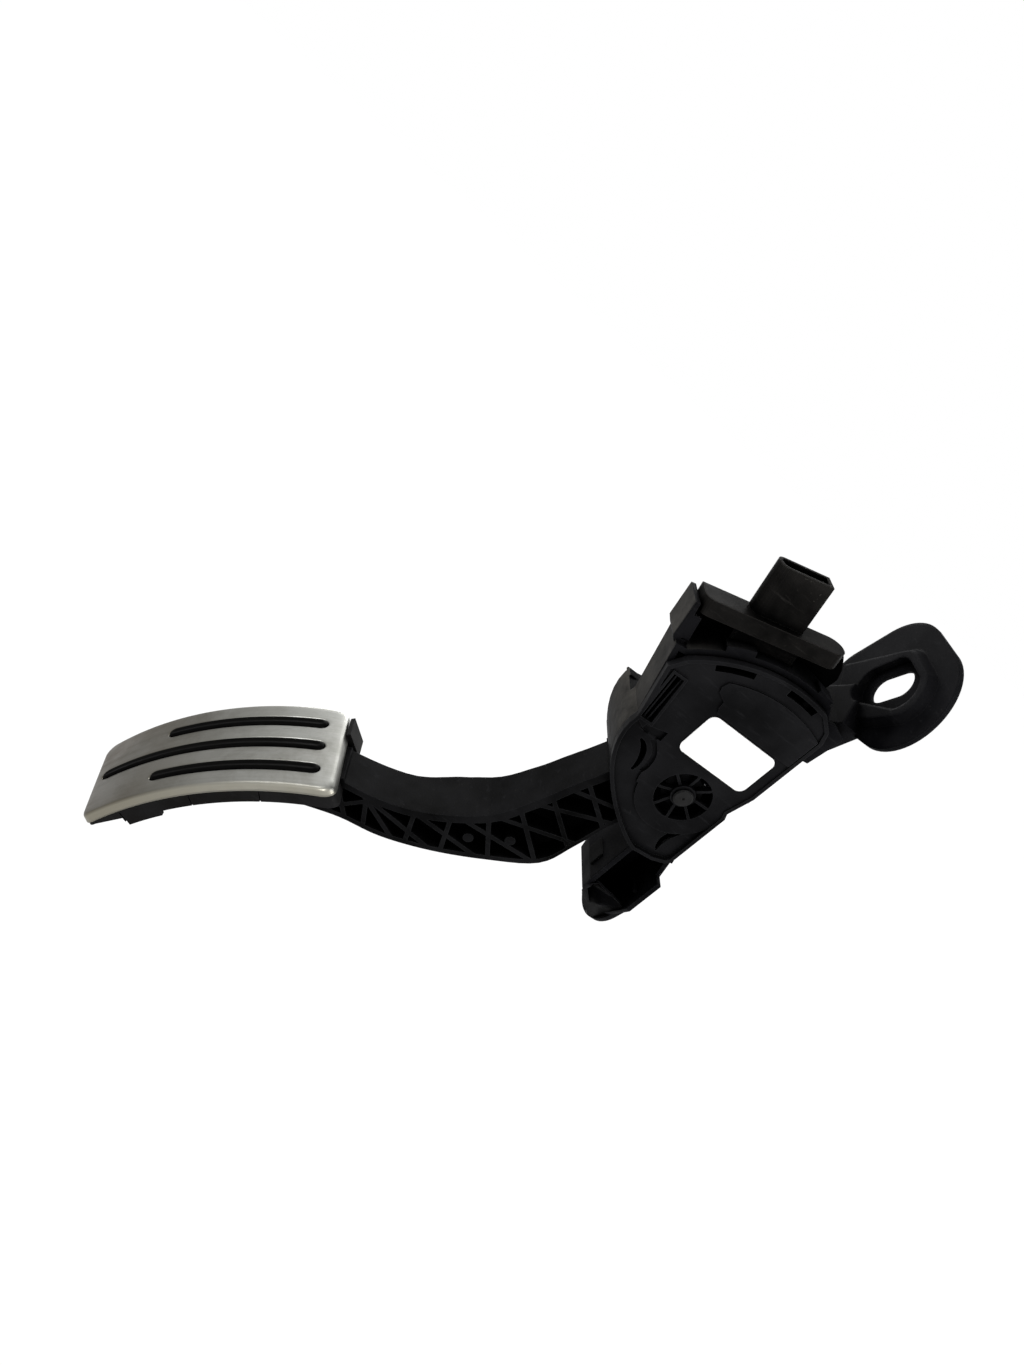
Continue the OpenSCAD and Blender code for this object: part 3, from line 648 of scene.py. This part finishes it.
CORNER_POINTS = 13
END_POINTS = 17
MERGE_MM = 0.004


def unit(rows: Array) -> Array:
    """Bring each row to length one.

    Args:
        rows: Directions, N by 2.

    Returns:
        Each row over its length.
    """
    return rows / np.linalg.norm(rows, axis=1, keepdims=True)


def rounded_polygon(corners: Array, radius: float, count: int) -> Array:
    """Round the corners of a convex polygon and space points evenly along it.

    Each corner becomes an arc whose centre lies on the corner's bisector at radius over the sine of half
    its angle, and the whole line is then resampled by its length.

    Args:
        corners: Corners in order, anticlockwise, as an N by 2 array.
        radius: Radius of the corners.
        count: Number of points wanted.

    Returns:
        Points as a count by 2 array, without repeating the first.
    """
    to_next = unit(np.roll(corners, -1, 0) - corners)
    to_last = unit(np.roll(corners, 1, 0) - corners)
    bisector = unit(to_next + to_last)
    half = np.arccos(np.clip((to_next * to_last).sum(1), -1, 1)) / 2
    centre = corners + bisector * (radius / np.sin(half))[:, None]
    out = -bisector
    start = np.arctan2(out[:, 1], out[:, 0]) - (math.pi / 2 - half)
    share = np.linspace(0, 1, CORNER_POINTS)
    angle = start[:, None] + share[None, :] * (math.pi - 2 * half)[:, None]
    arcs = centre[:, None, :] + radius * np.stack([np.cos(angle), np.sin(angle)], -1)
    return evenly(arcs.reshape(-1, 2), count)


def evenly(line: Array, count: int) -> Array:
    """Space points evenly along a closed line.

    Args:
        line: Points of the closed line.
        count: Number of points wanted.

    Returns:
        The new points, by straight interpolation over the line's length.
    """
    closed = np.vstack([line, line[:1]])
    length = np.concatenate([[0], np.cumsum(np.linalg.norm(np.diff(closed, axis=0), axis=1))])
    at = np.linspace(0, length[-1], count, endpoint=False)
    return np.stack([np.interp(at, length, closed[:, k]) for k in range(closed.shape[1])], -1)


def outward(line: Array) -> Array:
    """Normals of a closed anticlockwise line, pointing out of it.

    Args:
        line: Points of the line.

    Returns:
        One unit normal a point, the tangent turned a quarter turn clockwise.
    """
    tangent = unit(np.roll(line, -1, 0) - np.roll(line, 1, 0))
    return np.stack([tangent[:, 1], -tangent[:, 0]], -1)


def ring_faces(rings: int, count: int) -> Array:
    """Quads between closed rings of points that follow each other.

    Args:
        rings: Number of rings.
        count: Points in each ring.

    Returns:
        Faces as an M by 4 array of point numbers.
    """
    row = np.arange(rings - 1)[:, None] * count
    step = np.arange(count)[None, :]
    after = (step + 1) % count
    return np.stack([row + step, row + after, row + count + after, row + count + step], -1).reshape(-1, 4)


@dataclass
class Shape:
    """Points, faces and sheet coordinates gathered for one mesh."""

    points: list[Array] = field(default_factory=list)
    faces: list[list[int]] = field(default_factory=list)
    sheet: list[Array] = field(default_factory=list)
    total: int = 0

    def put(self, points: Array, faces: Array, sheet: Array | None = None) -> None:
        """Add a patch.

        Args:
            points: Points in mm, N by 3.
            faces: Faces as numbers of those points.
            sheet: Flat coordinates in metres, N by 2, or None.
        """
        self.points.append(points)
        self.faces.extend((np.asarray(faces) + self.total).tolist())
        self.sheet.append(np.zeros((len(points), 2)) if sheet is None else sheet)
        self.total += len(points)

    def mesh(self, name: str) -> Piece:
        """Make the object, with doubles merged and faces turned outwards.

        Args:
            name: Name of the piece.

        Returns:
            The new object at the origin.
        """
        data = bpy.data.meshes.new(name)
        data.from_pydata((np.vstack(self.points) * MM).tolist(), [], self.faces)
        layer = data.uv_layers.new(name="sheet")
        corner = np.zeros(len(data.loops), np.int32)
        data.loops.foreach_get("vertex_index", corner)
        layer.data.foreach_set("uv", np.vstack(self.sheet)[corner].astype(np.float32).ravel())
        work = bmesh.new()
        work.from_mesh(data)
        bmesh.ops.remove_doubles(work, verts=work.verts, dist=MERGE_MM * MM)
        bmesh.ops.recalc_face_normals(work, faces=work.faces)
        work.to_mesh(data)
        work.free()
        data.shade_smooth()
        return placed(name, data)


def dress(piece: Piece, material: Material) -> None:
    """Give a piece one material.

    Args:
        piece: The piece.
        material: Its material.
    """
    if not piece.data.materials:
        piece.data.materials.append(material)
    for part in piece.material_slots:
        part.material = material


def settle(piece: Piece, body: Body, slot: str, material: Material, *nodes: str) -> None:
    """Dress a new piece, set it on its body and let it stand for CAD nodes.

    Args:
        piece: The new piece.
        body: The body that carries it.
        slot: Not used.
        material: Its material.
        *nodes: CAD nodes that it stands for.
    """
    dress(piece, material)
    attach(piece, body.value)
    if nodes:
        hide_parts(*nodes)
    LOG.info("%s: %d faces, on %s", piece.name, len(piece.data.polygons), body.value)


@dataclass
class PadCurve:
    """The cylinder that the pad's layers follow, and the pad's plan."""

    radius: float = 141.5
    middle: Pair = (183.57, -194.85)
    lean: float = math.radians(39)
    root: float = 55.3
    tip: float = 45.4
    slant: float = 10.8
    width: float = 52.0
    corner: float = 5.0
    skew: float = 1.8

    def place(self, plan: Array, depth: Array | float) -> Array:
        """Carry plan points on to the curve.

        A point at distance u from the middle and radius r stands at height root(r squared - u squared)
        over the curve's centre, along the pad's own normal.

        Args:
            plan: Points as distance along and across the pad, N by 2.
            depth: How far under the face each lies.

        Returns:
            Points in the row frame in mm.
        """
        along = np.array([math.sin(self.lean), -math.cos(self.lean)])
        normal = np.array([math.cos(self.lean), math.sin(self.lean)])
        centre = np.array(self.middle) - self.radius * normal
        height = np.sqrt((self.radius - depth) ** 2 - plan[:, 0] ** 2)
        side = centre + plan[:, :1] * along + height[:, None] * normal
        return np.stack([side[:, 0], plan[:, 1], side[:, 1]], -1)

    def outline(self, inset: float, count: int) -> Array:
        """The pad's edge, shrunk by an inset.

        Args:
            inset: How far inside the pad's edge.
            count: Number of points.

        Returns:
            Plan points, anticlockwise.
        """
        half = self.width / 2
        corners = np.array([[-self.root, half], [self.skew - self.root, -half],
                            [self.tip + self.slant, -half], [self.tip, half]])
        line = rounded_polygon(corners, self.corner, count)
        return line - outward(line) * inset


@dataclass
class Strip:
    """One slot of the pad with the bar that stands in it."""

    across: float
    start: float
    end: float

    def outline(self, radius: float, count: int) -> Array:
        """Outline of the bar with round ends, anticlockwise.

        Args:
            radius: Half its width.
            count: Number of points.

        Returns:
            Plan points: a half circle about each end of the middle line, joined and spaced evenly.
        """
        half = np.linspace(-math.pi / 2, math.pi / 2, END_POINTS)
        right = np.stack([self.end + radius * np.cos(half), self.across + radius * np.sin(half)], -1)
        left = np.stack([self.start - radius * np.cos(half), self.across - radius * np.sin(half)], -1)
        return evenly(np.vstack([right, left]), count)


@dataclass
class Pad:
    """The pad: a formed metal sheet with three slots over rubber with three bars."""

    curve: PadCurve = field(default_factory=PadCurve)
    strips: tuple[Strip, ...] = (Strip(-14.5, -44.2, 16.8), Strip(0, -45.5, 43.7), Strip(14.5, -46.1, 15.3))
    slot_radius: float = 2.8
    sheet_thick: float = 1.2
    lip: float = 4.0
    lip_shares: Triple = (1.0, 0.66, 0.45)
    bend: float = 1.5
    slot_bend: float = 0.8
    bar_gap: float = 0.15
    bar_proud: float = 0.7
    mat_depth: Pair = (1.35, 2.35)
    mat_inset: float = 1.6
    mat_points: int = 160
    shoulder: float = 1.1
    groove: float = 0.28
    crown_from: float = 0.5
    bar_foot: float = 0.6
    shoulder_points: int = 9
    groove_points: int = 7
    cap_half: float = 0.02
    edge_points: int = 300
    slot_points: int = 120
    turn_points: int = 7
    grid_step: Pair = (1.6, 1.9)
    grid_share: float = 0.975
    grid_clear: float = 0.7

    def inside(self, spots: Array, edge: Array, holes: float) -> Array:
        """Which spots lie inside the edge and clear of the slots.

        A spot is inside a convex edge if it is on the inner side of every one of its sides, and clear of a
        slot if it is further than holes from the slot's middle line.

        Args:
            spots: Plan points.
            edge: Convex outline, anticlockwise.
            holes: Radius to stay clear of, or 0 for no holes.

        Returns:
            A true or false value for each spot.
        """
        side = np.roll(edge, -1, 0) - edge
        offset = spots[:, None, :] - edge[None, :, :]
        good = (side[None, :, 0] * offset[:, :, 1] - side[None, :, 1] * offset[:, :, 0] > 1e-6).all(1)
        for strip in self.strips if holes else ():
            nearest = np.clip(spots[:, 0], strip.start, strip.end)
            good &= np.hypot(spots[:, 0] - nearest, spots[:, 1] - strip.across) > holes
        return good

    def panel(self, edge: Array, holes: list[Array], clear: float) -> tuple[Array, Array]:
        """Triangulate the flat area between an edge and its holes, with a grid of points inside it.

        Args:
            edge: Outer outline.
            holes: Outlines of the holes.
            clear: Radius of the holes about the slots' middle lines, or 0.

        Returns:
            Plan points and triangles.
        """
        low, high = edge.min(0), edge.max(0)
        steps = [np.arange(low[k], high[k], self.grid_step[k]) for k in range(2)]
        grid = np.stack(np.meshgrid(*steps), -1).reshape(-1, 2)
        centre = edge.mean(0)
        inner = centre + (edge - centre) * self.grid_share
        grid = grid[self.inside(grid, inner, clear + self.grid_clear if clear else 0)]
        loops = [edge, *holes]
        spots = np.vstack([*loops, grid])
        first = np.cumsum([0, *[len(loop) for loop in loops]])
        sides = np.vstack([
            np.stack([np.arange(len(loop)), (np.arange(len(loop)) + 1) % len(loop)], -1) + start
            for loop, start in zip(loops, first)
        ])
        found = delaunay_2d_cdt([Vector(spot) for spot in spots.tolist()], sides.tolist(), [], 0, 1e-7)
        plan = np.array([tuple(spot) for spot in found[0]])
        faces = np.array(found[2])
        middle = plan[faces].mean(1)
        return plan, faces[self.inside(middle, edge, clear)]

    def face(self) -> Piece:
        """Build the metal face.

        The edge's section goes up the turned-down lip, round a quarter circle and on to the face; each slot's
        section is a smaller quarter circle that rolls down into the slot. The face between them is a grid on
        the pad's cylinder, and the sheet's thickness lies under it.

        Returns:
            The new piece.
        """
        shape = Shape()
        turn = np.linspace(0, math.pi / 2, self.turn_points)
        inset = np.concatenate([[0, 0, 0], self.bend * (1 - np.cos(turn))])
        lip = self.lip * np.array(self.lip_shares)
        depth = np.concatenate([lip, self.bend * (1 - np.sin(turn))])
        rim = np.stack([self.curve.outline(gap, self.edge_points) for gap in inset])
        self.band(shape, rim, depth)
        holes = []
        reach = self.slot_bend * np.concatenate([1 - np.sin(turn), [0]])
        drop = np.concatenate([self.slot_bend * (1 - np.cos(turn)), [self.sheet_thick]])
        for strip in self.strips:
            rings = np.stack([strip.outline(self.slot_radius + gap, self.slot_points) for gap in reach])
            holes.append(rings[0])
            self.band(shape, rings, drop)
        plan, faces = self.panel(rim[-1], holes, self.slot_radius + self.slot_bend)
        shape.put(self.curve.place(plan, 0.0), faces, plan * MM)
        piece = shape.mesh("pad_face")
        self.face_up(piece)
        wall = piece.modifiers.new("thickness", "SOLIDIFY")
        wall.thickness = self.sheet_thick * MM
        wall.offset = -1.0
        return piece

    def band(self, shape: Shape, rings: Array, depth: Array, spread: float = 1) -> None:
        """Add a band that runs through rings, each carried on to the curve at its own depth.

        A point's flat place is its plan point, moved out past the side by spread times its depth.

        Args:
            shape: The mesh being gathered.
            rings: Rings of plan points, in order.
            depth: How far under the face each ring lies.
            spread: Share of the depth that is laid out.
        """
        flat = rings.reshape(-1, 2)
        under = np.repeat(depth, rings.shape[1])
        side = flat[:, 1] + spread * np.sign(flat[:, 1]) * under
        sheet = np.stack([flat[:, 0], side], -1) * MM
        shape.put(self.curve.place(flat, under), ring_faces(*rings.shape[:2]), sheet)

    def face_up(self, piece: Piece) -> None:
        """Turn an open sheet's faces so that they point away from the curve's centre.

        Args:
            piece: The sheet.
        """
        data = piece.data
        normal = np.array([f.normal for f in data.polygons])
        area = np.array([f.area for f in data.polygons])
        out = np.array([math.cos(self.curve.lean), 0, math.sin(self.curve.lean)])
        if (normal @ out * area).sum() < 0:
            data.flip_normals()

    def rubber(self) -> Piece:
        """Build the rubber: a thin sheet under the face and three crowned bars.

        A bar's section rises straight, turns over a shoulder and ends in a shallow groove along its middle:
        its height over the shoulder is a quarter ellipse, and the groove is a cosine.

        Returns:
            The new piece.
        """
        shape = Shape()
        edge = self.curve.outline(self.mat_inset, self.mat_points)
        top, base = self.mat_depth
        plan, faces = self.panel(edge, [], 0)
        for depth, turn in ((top, 1), (base, -1)):
            shape.put(self.curve.place(plan, depth), faces[:, ::turn], plan * MM)
        walls = np.vstack([self.curve.place(edge, top), self.curve.place(edge, base)])
        shape.put(walls, ring_faces(2, len(edge)), np.vstack([edge, edge]) * MM)
        radius = self.slot_radius - self.bar_gap
        flat_half = radius - self.shoulder
        turn = np.linspace(0, math.pi / 2, self.shoulder_points)
        middle = np.linspace(flat_half, self.cap_half, self.groove_points)[1:]
        across = np.concatenate([[radius, radius], radius - self.shoulder * (1 - np.cos(turn)), middle])
        groove = self.groove * (0.5 + 0.5 * np.cos(np.pi * middle / flat_half))
        rise = self.crown_from - (self.bar_proud + self.crown_from) * np.sin(turn)
        depth = np.concatenate([[top, self.bar_foot], rise, -self.bar_proud + groove])
        for strip in self.strips:
            rings = np.stack([strip.outline(gap, self.slot_points) for gap in across])
            self.band(shape, rings, depth, 0)
            cap = rings[-1]
            pair = np.arange(self.slot_points // 2 - 1)
            back = self.slot_points - 1 - pair
            faces = np.stack([pair, pair + 1, back - 1, back], -1)
            shape.put(self.curve.place(cap, depth[-1]), faces, cap * MM)
        return shape.mesh("pad_bars")

    def build(self) -> None:
        """Build and dress the pad's metal and rubber."""
        settle(self.face(), Body.PEDAL, "pad_metal", BrushedSheet().build(), "pad_plate")
        settle(self.rubber(), Body.PEDAL, "pad_rubber", BarRubber().build(), "pad_mat")


@dataclass
class Spring:
    """A coil spring with closed ends, drawn as a round wire on a helix."""

    name: str
    node: str
    centre: Pair = (22.2, 0.0)
    foot: float = -77.5
    length: float = 41.0
    radius: float = 3.75
    wire: float = 1.5
    turns: int = 9
    per_turn: int = 36
    sides: int = 14
    end_share: float = 0.1
    end_rise: float = 0.45

    def rise(self, share: Array) -> Array:
        """Height of the wire's middle along the coil: slow in the two ends and even between them.

        Args:
            share: Share of the coil, from 0 to 1.

        Returns:
            Height in mm.
        """
        low = self.end_share * self.end_rise
        middle = low + (share - self.end_share) * (1 - 2 * low) / (1 - 2 * self.end_share)
        upper = np.where(share > 1 - self.end_share, 1 - (1 - share) * self.end_rise, middle)
        part = np.where(share < self.end_share, share * self.end_rise, upper)
        return self.wire / 2 + (self.length - self.wire) * part

    def build(self, material: Material) -> None:
        """Sweep a circle along the helix and close its ends.

        A point of the wire stands at the coil's radius plus half the wire times the cosine of its place round
        the wire, and at the helix's height plus half the wire times the sine.

        Args:
            material: Its material.
        """
        count = self.turns * self.per_turn + 1
        share = np.linspace(0, 1, count)
        angle = 2 * math.pi * self.turns * share
        around = np.linspace(0, 2 * math.pi, self.sides, endpoint=False)
        reach = self.radius + self.wire / 2 * np.cos(around)[None, :]
        height = self.foot + self.rise(share)[:, None] + self.wire / 2 * np.sin(around)[None, :]
        points = np.stack([self.centre[0] + reach * np.cos(angle)[:, None],
                           self.centre[1] + reach * np.sin(angle)[:, None], height], -1).reshape(-1, 3)
        shape = Shape()
        shape.put(points, ring_faces(count, self.sides))
        for at in (0, count - 1):
            ring = np.arange(self.sides) + at * self.sides
            hub = points[ring].mean(0, keepdims=True)
            fan = np.stack([np.full(self.sides, self.sides), np.arange(self.sides),
                            (np.arange(self.sides) + 1) % self.sides], -1)
            shape.put(np.vstack([points[ring], hub]), fan)
        piece = shape.mesh(self.name)
        settle(piece, Body.BASE, "spring_steel", material, self.node)
        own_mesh(piece)


@dataclass
class Plate:
    """A flat moulded wall with rounded edges, standing square to the pin."""

    name: str
    corners: tuple[Pair, ...]
    far: float
    near: float
    edge: float = 0.8
    lean: float = 0.0
    lean_from: float = 0.0
    pivot_height: float = -79.5
    count: int = 180
    turn_points: int = 5

    def build(self, slot: str, material: Material) -> None:
        """Build and dress the wall.

        Its outline is spaced evenly and carried through two quarter circles, one at each face, so that a
        point stands in by the edge's radius times one less the sine, or the cosine, of the turn. Below
        lean_from the wall leans back by lean for each millimetre down.

        Args:
            slot: Passed on to settle, which does not use it.
            material: Its material.
        """
        line = evenly(np.array(self.corners), self.count)
        turn = np.linspace(0, math.pi / 2, self.turn_points)
        inset = self.edge * np.concatenate([1 - np.sin(turn), 1 - np.cos(turn)])
        across = np.concatenate([self.far + self.edge * (1 - np.cos(turn)),
                                 self.near - self.edge * (1 - np.sin(turn))])
        rings = np.stack([line - outward(line) * gap for gap in inset])
        side = across[:, None] + self.lean * np.minimum(0.0, rings[..., 1] - self.lean_from)
        points = np.stack([rings[..., 0], side, rings[..., 1] + self.pivot_height], -1).reshape(-1, 3)
        shape = Shape()
        shape.put(points, ring_faces(len(inset), self.count))
        for ring in (0, len(inset) - 1):
            shape.put(points[ring * self.count:(ring + 1) * self.count], np.arange(self.count)[None, :])
        settle(shape.mesh(self.name), Body.BASE, slot, material)


# Carried-over nodes

Finish = Moulded | TurnedMetal | Film | Laminate
# A wall behind the sensor, coloured near black as painted shade.
SENSOR_WELL = Plate(
    "sensor_well",
    ((74.6, 40.0), (80.0, 45.0), (81.5, 59.5), (31.0, 72.5), (27.0, 76.4), (24.2, 76.2), (20.2, 72.2),
     (18.2, 67.8), (18.6, 63.0), (20.0, 58.0), (30.0, 60.0), (50.0, 57.0), (65.0, 49.0)),
    far=-6.0, near=-1.0)
FOOT_WEB = Plate(
    "foot_web",
    ((25.3, -64.3), (20.8, -71.8), (12.4, -79.8), (4.1, -85.8), (2.3, -82.6), (1.7, -76.9), (4.0, -68.9),
     (6.9, -63.4), (14.1, -61.3), (19.4, -60.4), (23.5, -59.5), (25.5, -61.6)),
    far=9.0, near=10.6, edge=0.5, lean=0.556, lean_from=-61.0)


@dataclass
class Mouldings:
    """The moulded, turned and pressed pieces whose CAD shape is shown as it is."""

    # The pale tone: the second tone, the flow streaks and the colour of the painted edge highlights.
    sheen: Colour = linear(42, 42, 44)

    def finishes(self) -> list[tuple[Finish, str]]:
        """List the finishes.

        Returns:
            Each finish, with the CAD nodes in view that wear it.
        """
        return [
            # Housing: a painted paler tone on faces turned toward +X, and painted shade in its pockets and
            # under the sensor cap.
            (Moulded("housing_plastic", linear(7, 7, 9), self.sheen, gloss=0.46, dust=0.25, edge_radius=1.5,
                     lit_way=(0.95, 0.0, 0.3), lit_from=0.045, film=0.36, shine=0.008,
                     shade_reach=24.0, shade_open=(0.42, 0.9)), "housing"),
            (Moulded("cover_plastic", linear(9, 9, 10), self.sheen, shine=0.024, grain_mm=0.4), "side_cover"),
            (Moulded("arm_plastic", linear(6, 6, 6), self.sheen, gloss=0.52, shine=0.009, grain_mm=0.5),
             "pedal_arm"),
            (Moulded("seat_plastic", linear(200, 198, 190), linear(220, 218, 210), gloss=0.4),
             "spring_cup spring_cap"),
            (Moulded("sensor_plastic", linear(4, 4, 4), linear(60, 58, 56), gloss=0.4, dust=0.4,
                     edge_radius=0.8, dust_and_lit_colour=linear(150, 146, 138), shine=0.007, shade_reach=25.0,
                     shade_open=(0.5, 0.95)), "sensor_housing sensor_lid"),
            (Moulded("carrier_plastic", linear(13, 12, 11), self.sheen, gloss=0.55), "pad_carrier"),
            (Moulded("bumper_rubber", linear(9, 9, 9), linear(30, 30, 30), gloss=0.7, shine=0.02),
             "stop_pad rest_bumper"),
            (Moulded("chip_resin", linear(22, 22, 24), linear(50, 50, 52), gloss=0.6, grain_mm=0.15),
             "hall_chip"),
            (Moulded("magnet_ferrite", linear(56, 56, 58), linear(90, 90, 92), shine=0.4), "magnet"),
            (TurnedMetal("pin_steel", linear(40, 40, 40), linear(24, 23, 22), gloss=0.42,
                         lines=(900.0, 40.0, 900.0)), "pivot_pin"),
            (TurnedMetal("bush_metal", linear(168, 140, 92), linear(110, 86, 52)), "bush_near bush_far"),
            (TurnedMetal("sleeve_steel", linear(150, 150, 148), linear(104, 98, 88)), "foot_sleeve"),
            (TurnedMetal("contact_brass", linear(198, 166, 96), linear(140, 104, 52), gloss=0.3),
             "connector_pins"),
            (Film(), "id_label"),
            (Laminate(), "circuit_board"),
        ]

    def build(self) -> None:
        """Dress each carried-over node, and add the wall under the sensor, coloured near black as painted
        shade, and the web in the foot.
        """
        made = {}
        for finish, names in self.finishes():
            made[finish.name] = finish.build()
            for name in names.split():
                dress(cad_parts[name], made[finish.name])
                LOG.info("%s: %s", name, finish.name)
        # Painted shade: the wall under the sensor is coloured near black, darker than the housing plastic
        # that it belongs to.
        deep = Moulded("well_painted_shade", linear(1, 1, 1), linear(6, 6, 6), dust=0.0, shine=0.005)
        SENSOR_WELL.build("housing_plastic", deep.build())
        FOOT_WEB.build("housing_plastic", made["housing_plastic"])


# Studio


@dataclass(frozen=True)
class Lamp:
    """A square soft light: its place and the point that it faces in metres, its side and its watts."""

    name: str
    place: Triple
    aim: Triple
    size: float
    power: float

    def build(self) -> None:
        """Add the light to the scene."""
        data = bpy.data.lights.new(self.name, "AREA")
        data.size = self.size
        data.energy = self.power
        light = placed(self.name, data)
        light.location = self.place
        way = Vector(self.aim) - Vector(self.place)
        light.rotation_euler = way.to_track_quat("-Z", "Y").to_euler()


LAMPS = (
    Lamp("key", (0.8, 0.05, 0.65), (0.1, 0.0, -0.1), 0.5, 4.6),
    Lamp("far", (0.1, -0.9, 0.05), (0.08, 0.0, -0.1), 0.6, 9.0),
    Lamp("wall", (-0.85, -0.1, -0.05), (0.05, 0.0, -0.1), 0.6, 8.0),
    Lamp("side", (-0.05, 0.85, 0.35), (0.08, 0.0, -0.1), 0.5, 5.5),
)


@dataclass
class Studio:
    """Floor, soft lights and the camera."""

    floor_height: float = -0.30
    floor_size: float = 4.0
    floor_colour: Colour = (0.86, 0.86, 0.86)
    floor_rough: float = 0.9
    floor_glow: float = 1.04
    floor_seen: float = 0.95
    camera_place: Triple = (0.23669, 0.33109, 0.0834)
    camera_axes: tuple[Triple, ...] = ((-0.7712, -0.0392, 0.6354), (0.5496, -0.5447, 0.6335),
                                       (0.3213, 0.8377, 0.4416))
    focal_px: float = 1050.0
    image_height: float = 1365.0
    sensor: float = 36.0
    fill: float = 0.3

    def seen_white(self, nodes: Nodes, plain: Socket, white: Socket, share: float) -> Socket:
        """Show white to the camera and to mirror and glass rays, and the plain shader to all else.

        Args:
            nodes: Nodes of the floor or the world.
            plain: Shader for the object's own light.
            white: Shader that is seen.
            share: How much of the seen white.

        Returns:
            The mixed shader.
        """
        rays = nodes.add("LightPath").outputs
        seen = rays["Is Camera Ray"]
        for other in ("Is Glossy Ray", "Is Transmission Ray"):
            seen = nodes.calc("MAXIMUM", seen, rays[other])
        return nodes.add("MixShader", {0: nodes.times(seen, share), 1: plain, 2: white}).outputs[0]

    def floor(self) -> None:
        """A plain white floor that keeps a faint shadow."""
        half = self.floor_size / 2
        corners = ((-half, -half), (half, -half), (half, half), (-half, half))
        data = bpy.data.meshes.new("floor")
        data.from_pydata([(x, y, self.floor_height) for x, y in corners], [], [(0, 1, 2, 3)])
        floor = placed("floor", data)
        graph = Graph("floor_white")
        data.materials.append(graph.finish(Base_Color=self.floor_colour, Roughness=self.floor_rough))
        glow = graph.add("Emission", {"Strength": self.floor_glow})
        result = self.seen_white(graph, graph.shader.outputs[0], glow.outputs[0], self.floor_seen)
        graph.put(graph.tree.nodes["Material Output"].inputs["Surface"], result)

    def world(self) -> None:
        """A plain pale surrounding that fills the shadows."""
        world = bpy.data.worlds.new("studio")
        bpy.context.scene.world = world
        world.use_nodes = True
        nodes = Nodes(world.node_tree)
        plain = nodes.tree.nodes["Background"]
        white = nodes.add("Background", {"Color": (1, 1, 1, 1)})
        nodes.put(plain.inputs["Color"], (1, 1, 1, 1))
        nodes.put(plain.inputs["Strength"], self.fill)
        result = self.seen_white(nodes, plain.outputs[0], white.outputs[0], 1.0)
        nodes.put(nodes.tree.nodes["World Output"].inputs["Surface"], result)

    def camera(self) -> None:
        """The camera at the photograph's place, its right, up and back axes as columns of its matrix."""
        data = bpy.data.cameras.new("camera")
        data.sensor_fit = "VERTICAL"
        data.sensor_height = self.sensor
        data.lens = self.focal_px / self.image_height * self.sensor
        data.clip_start = 0.01
        camera = placed("camera", data)
        turn = Matrix(self.camera_axes).transposed().to_4x4()
        camera.matrix_world = Matrix.Translation(self.camera_place) @ turn
        bpy.context.scene.camera = camera

    def build(self) -> None:
        """Set up the whole studio."""
        self.floor()
        self.world()
        for lamp in LAMPS:
            lamp.build()
        self.camera()
        bpy.context.scene.view_settings.view_transform = "Standard"


def main() -> None:
    """Build the pedal's classes in order, then the studio."""
    logging.basicConfig(level=logging.INFO, format="%(name)s: %(message)s")
    Mouldings().build()
    steel = TurnedMetal("spring_steel", linear(150, 150, 152), linear(92, 88, 82), gloss=0.3).build()
    Spring("spring_outer", "return_spring_outer").build(steel)
    Spring("spring_inner", "return_spring_inner", radius=2.35, wire=0.9, turns=12).build(steel)
    Pad().build()
    Studio().build()


if __name__ == "__main__":
    main()
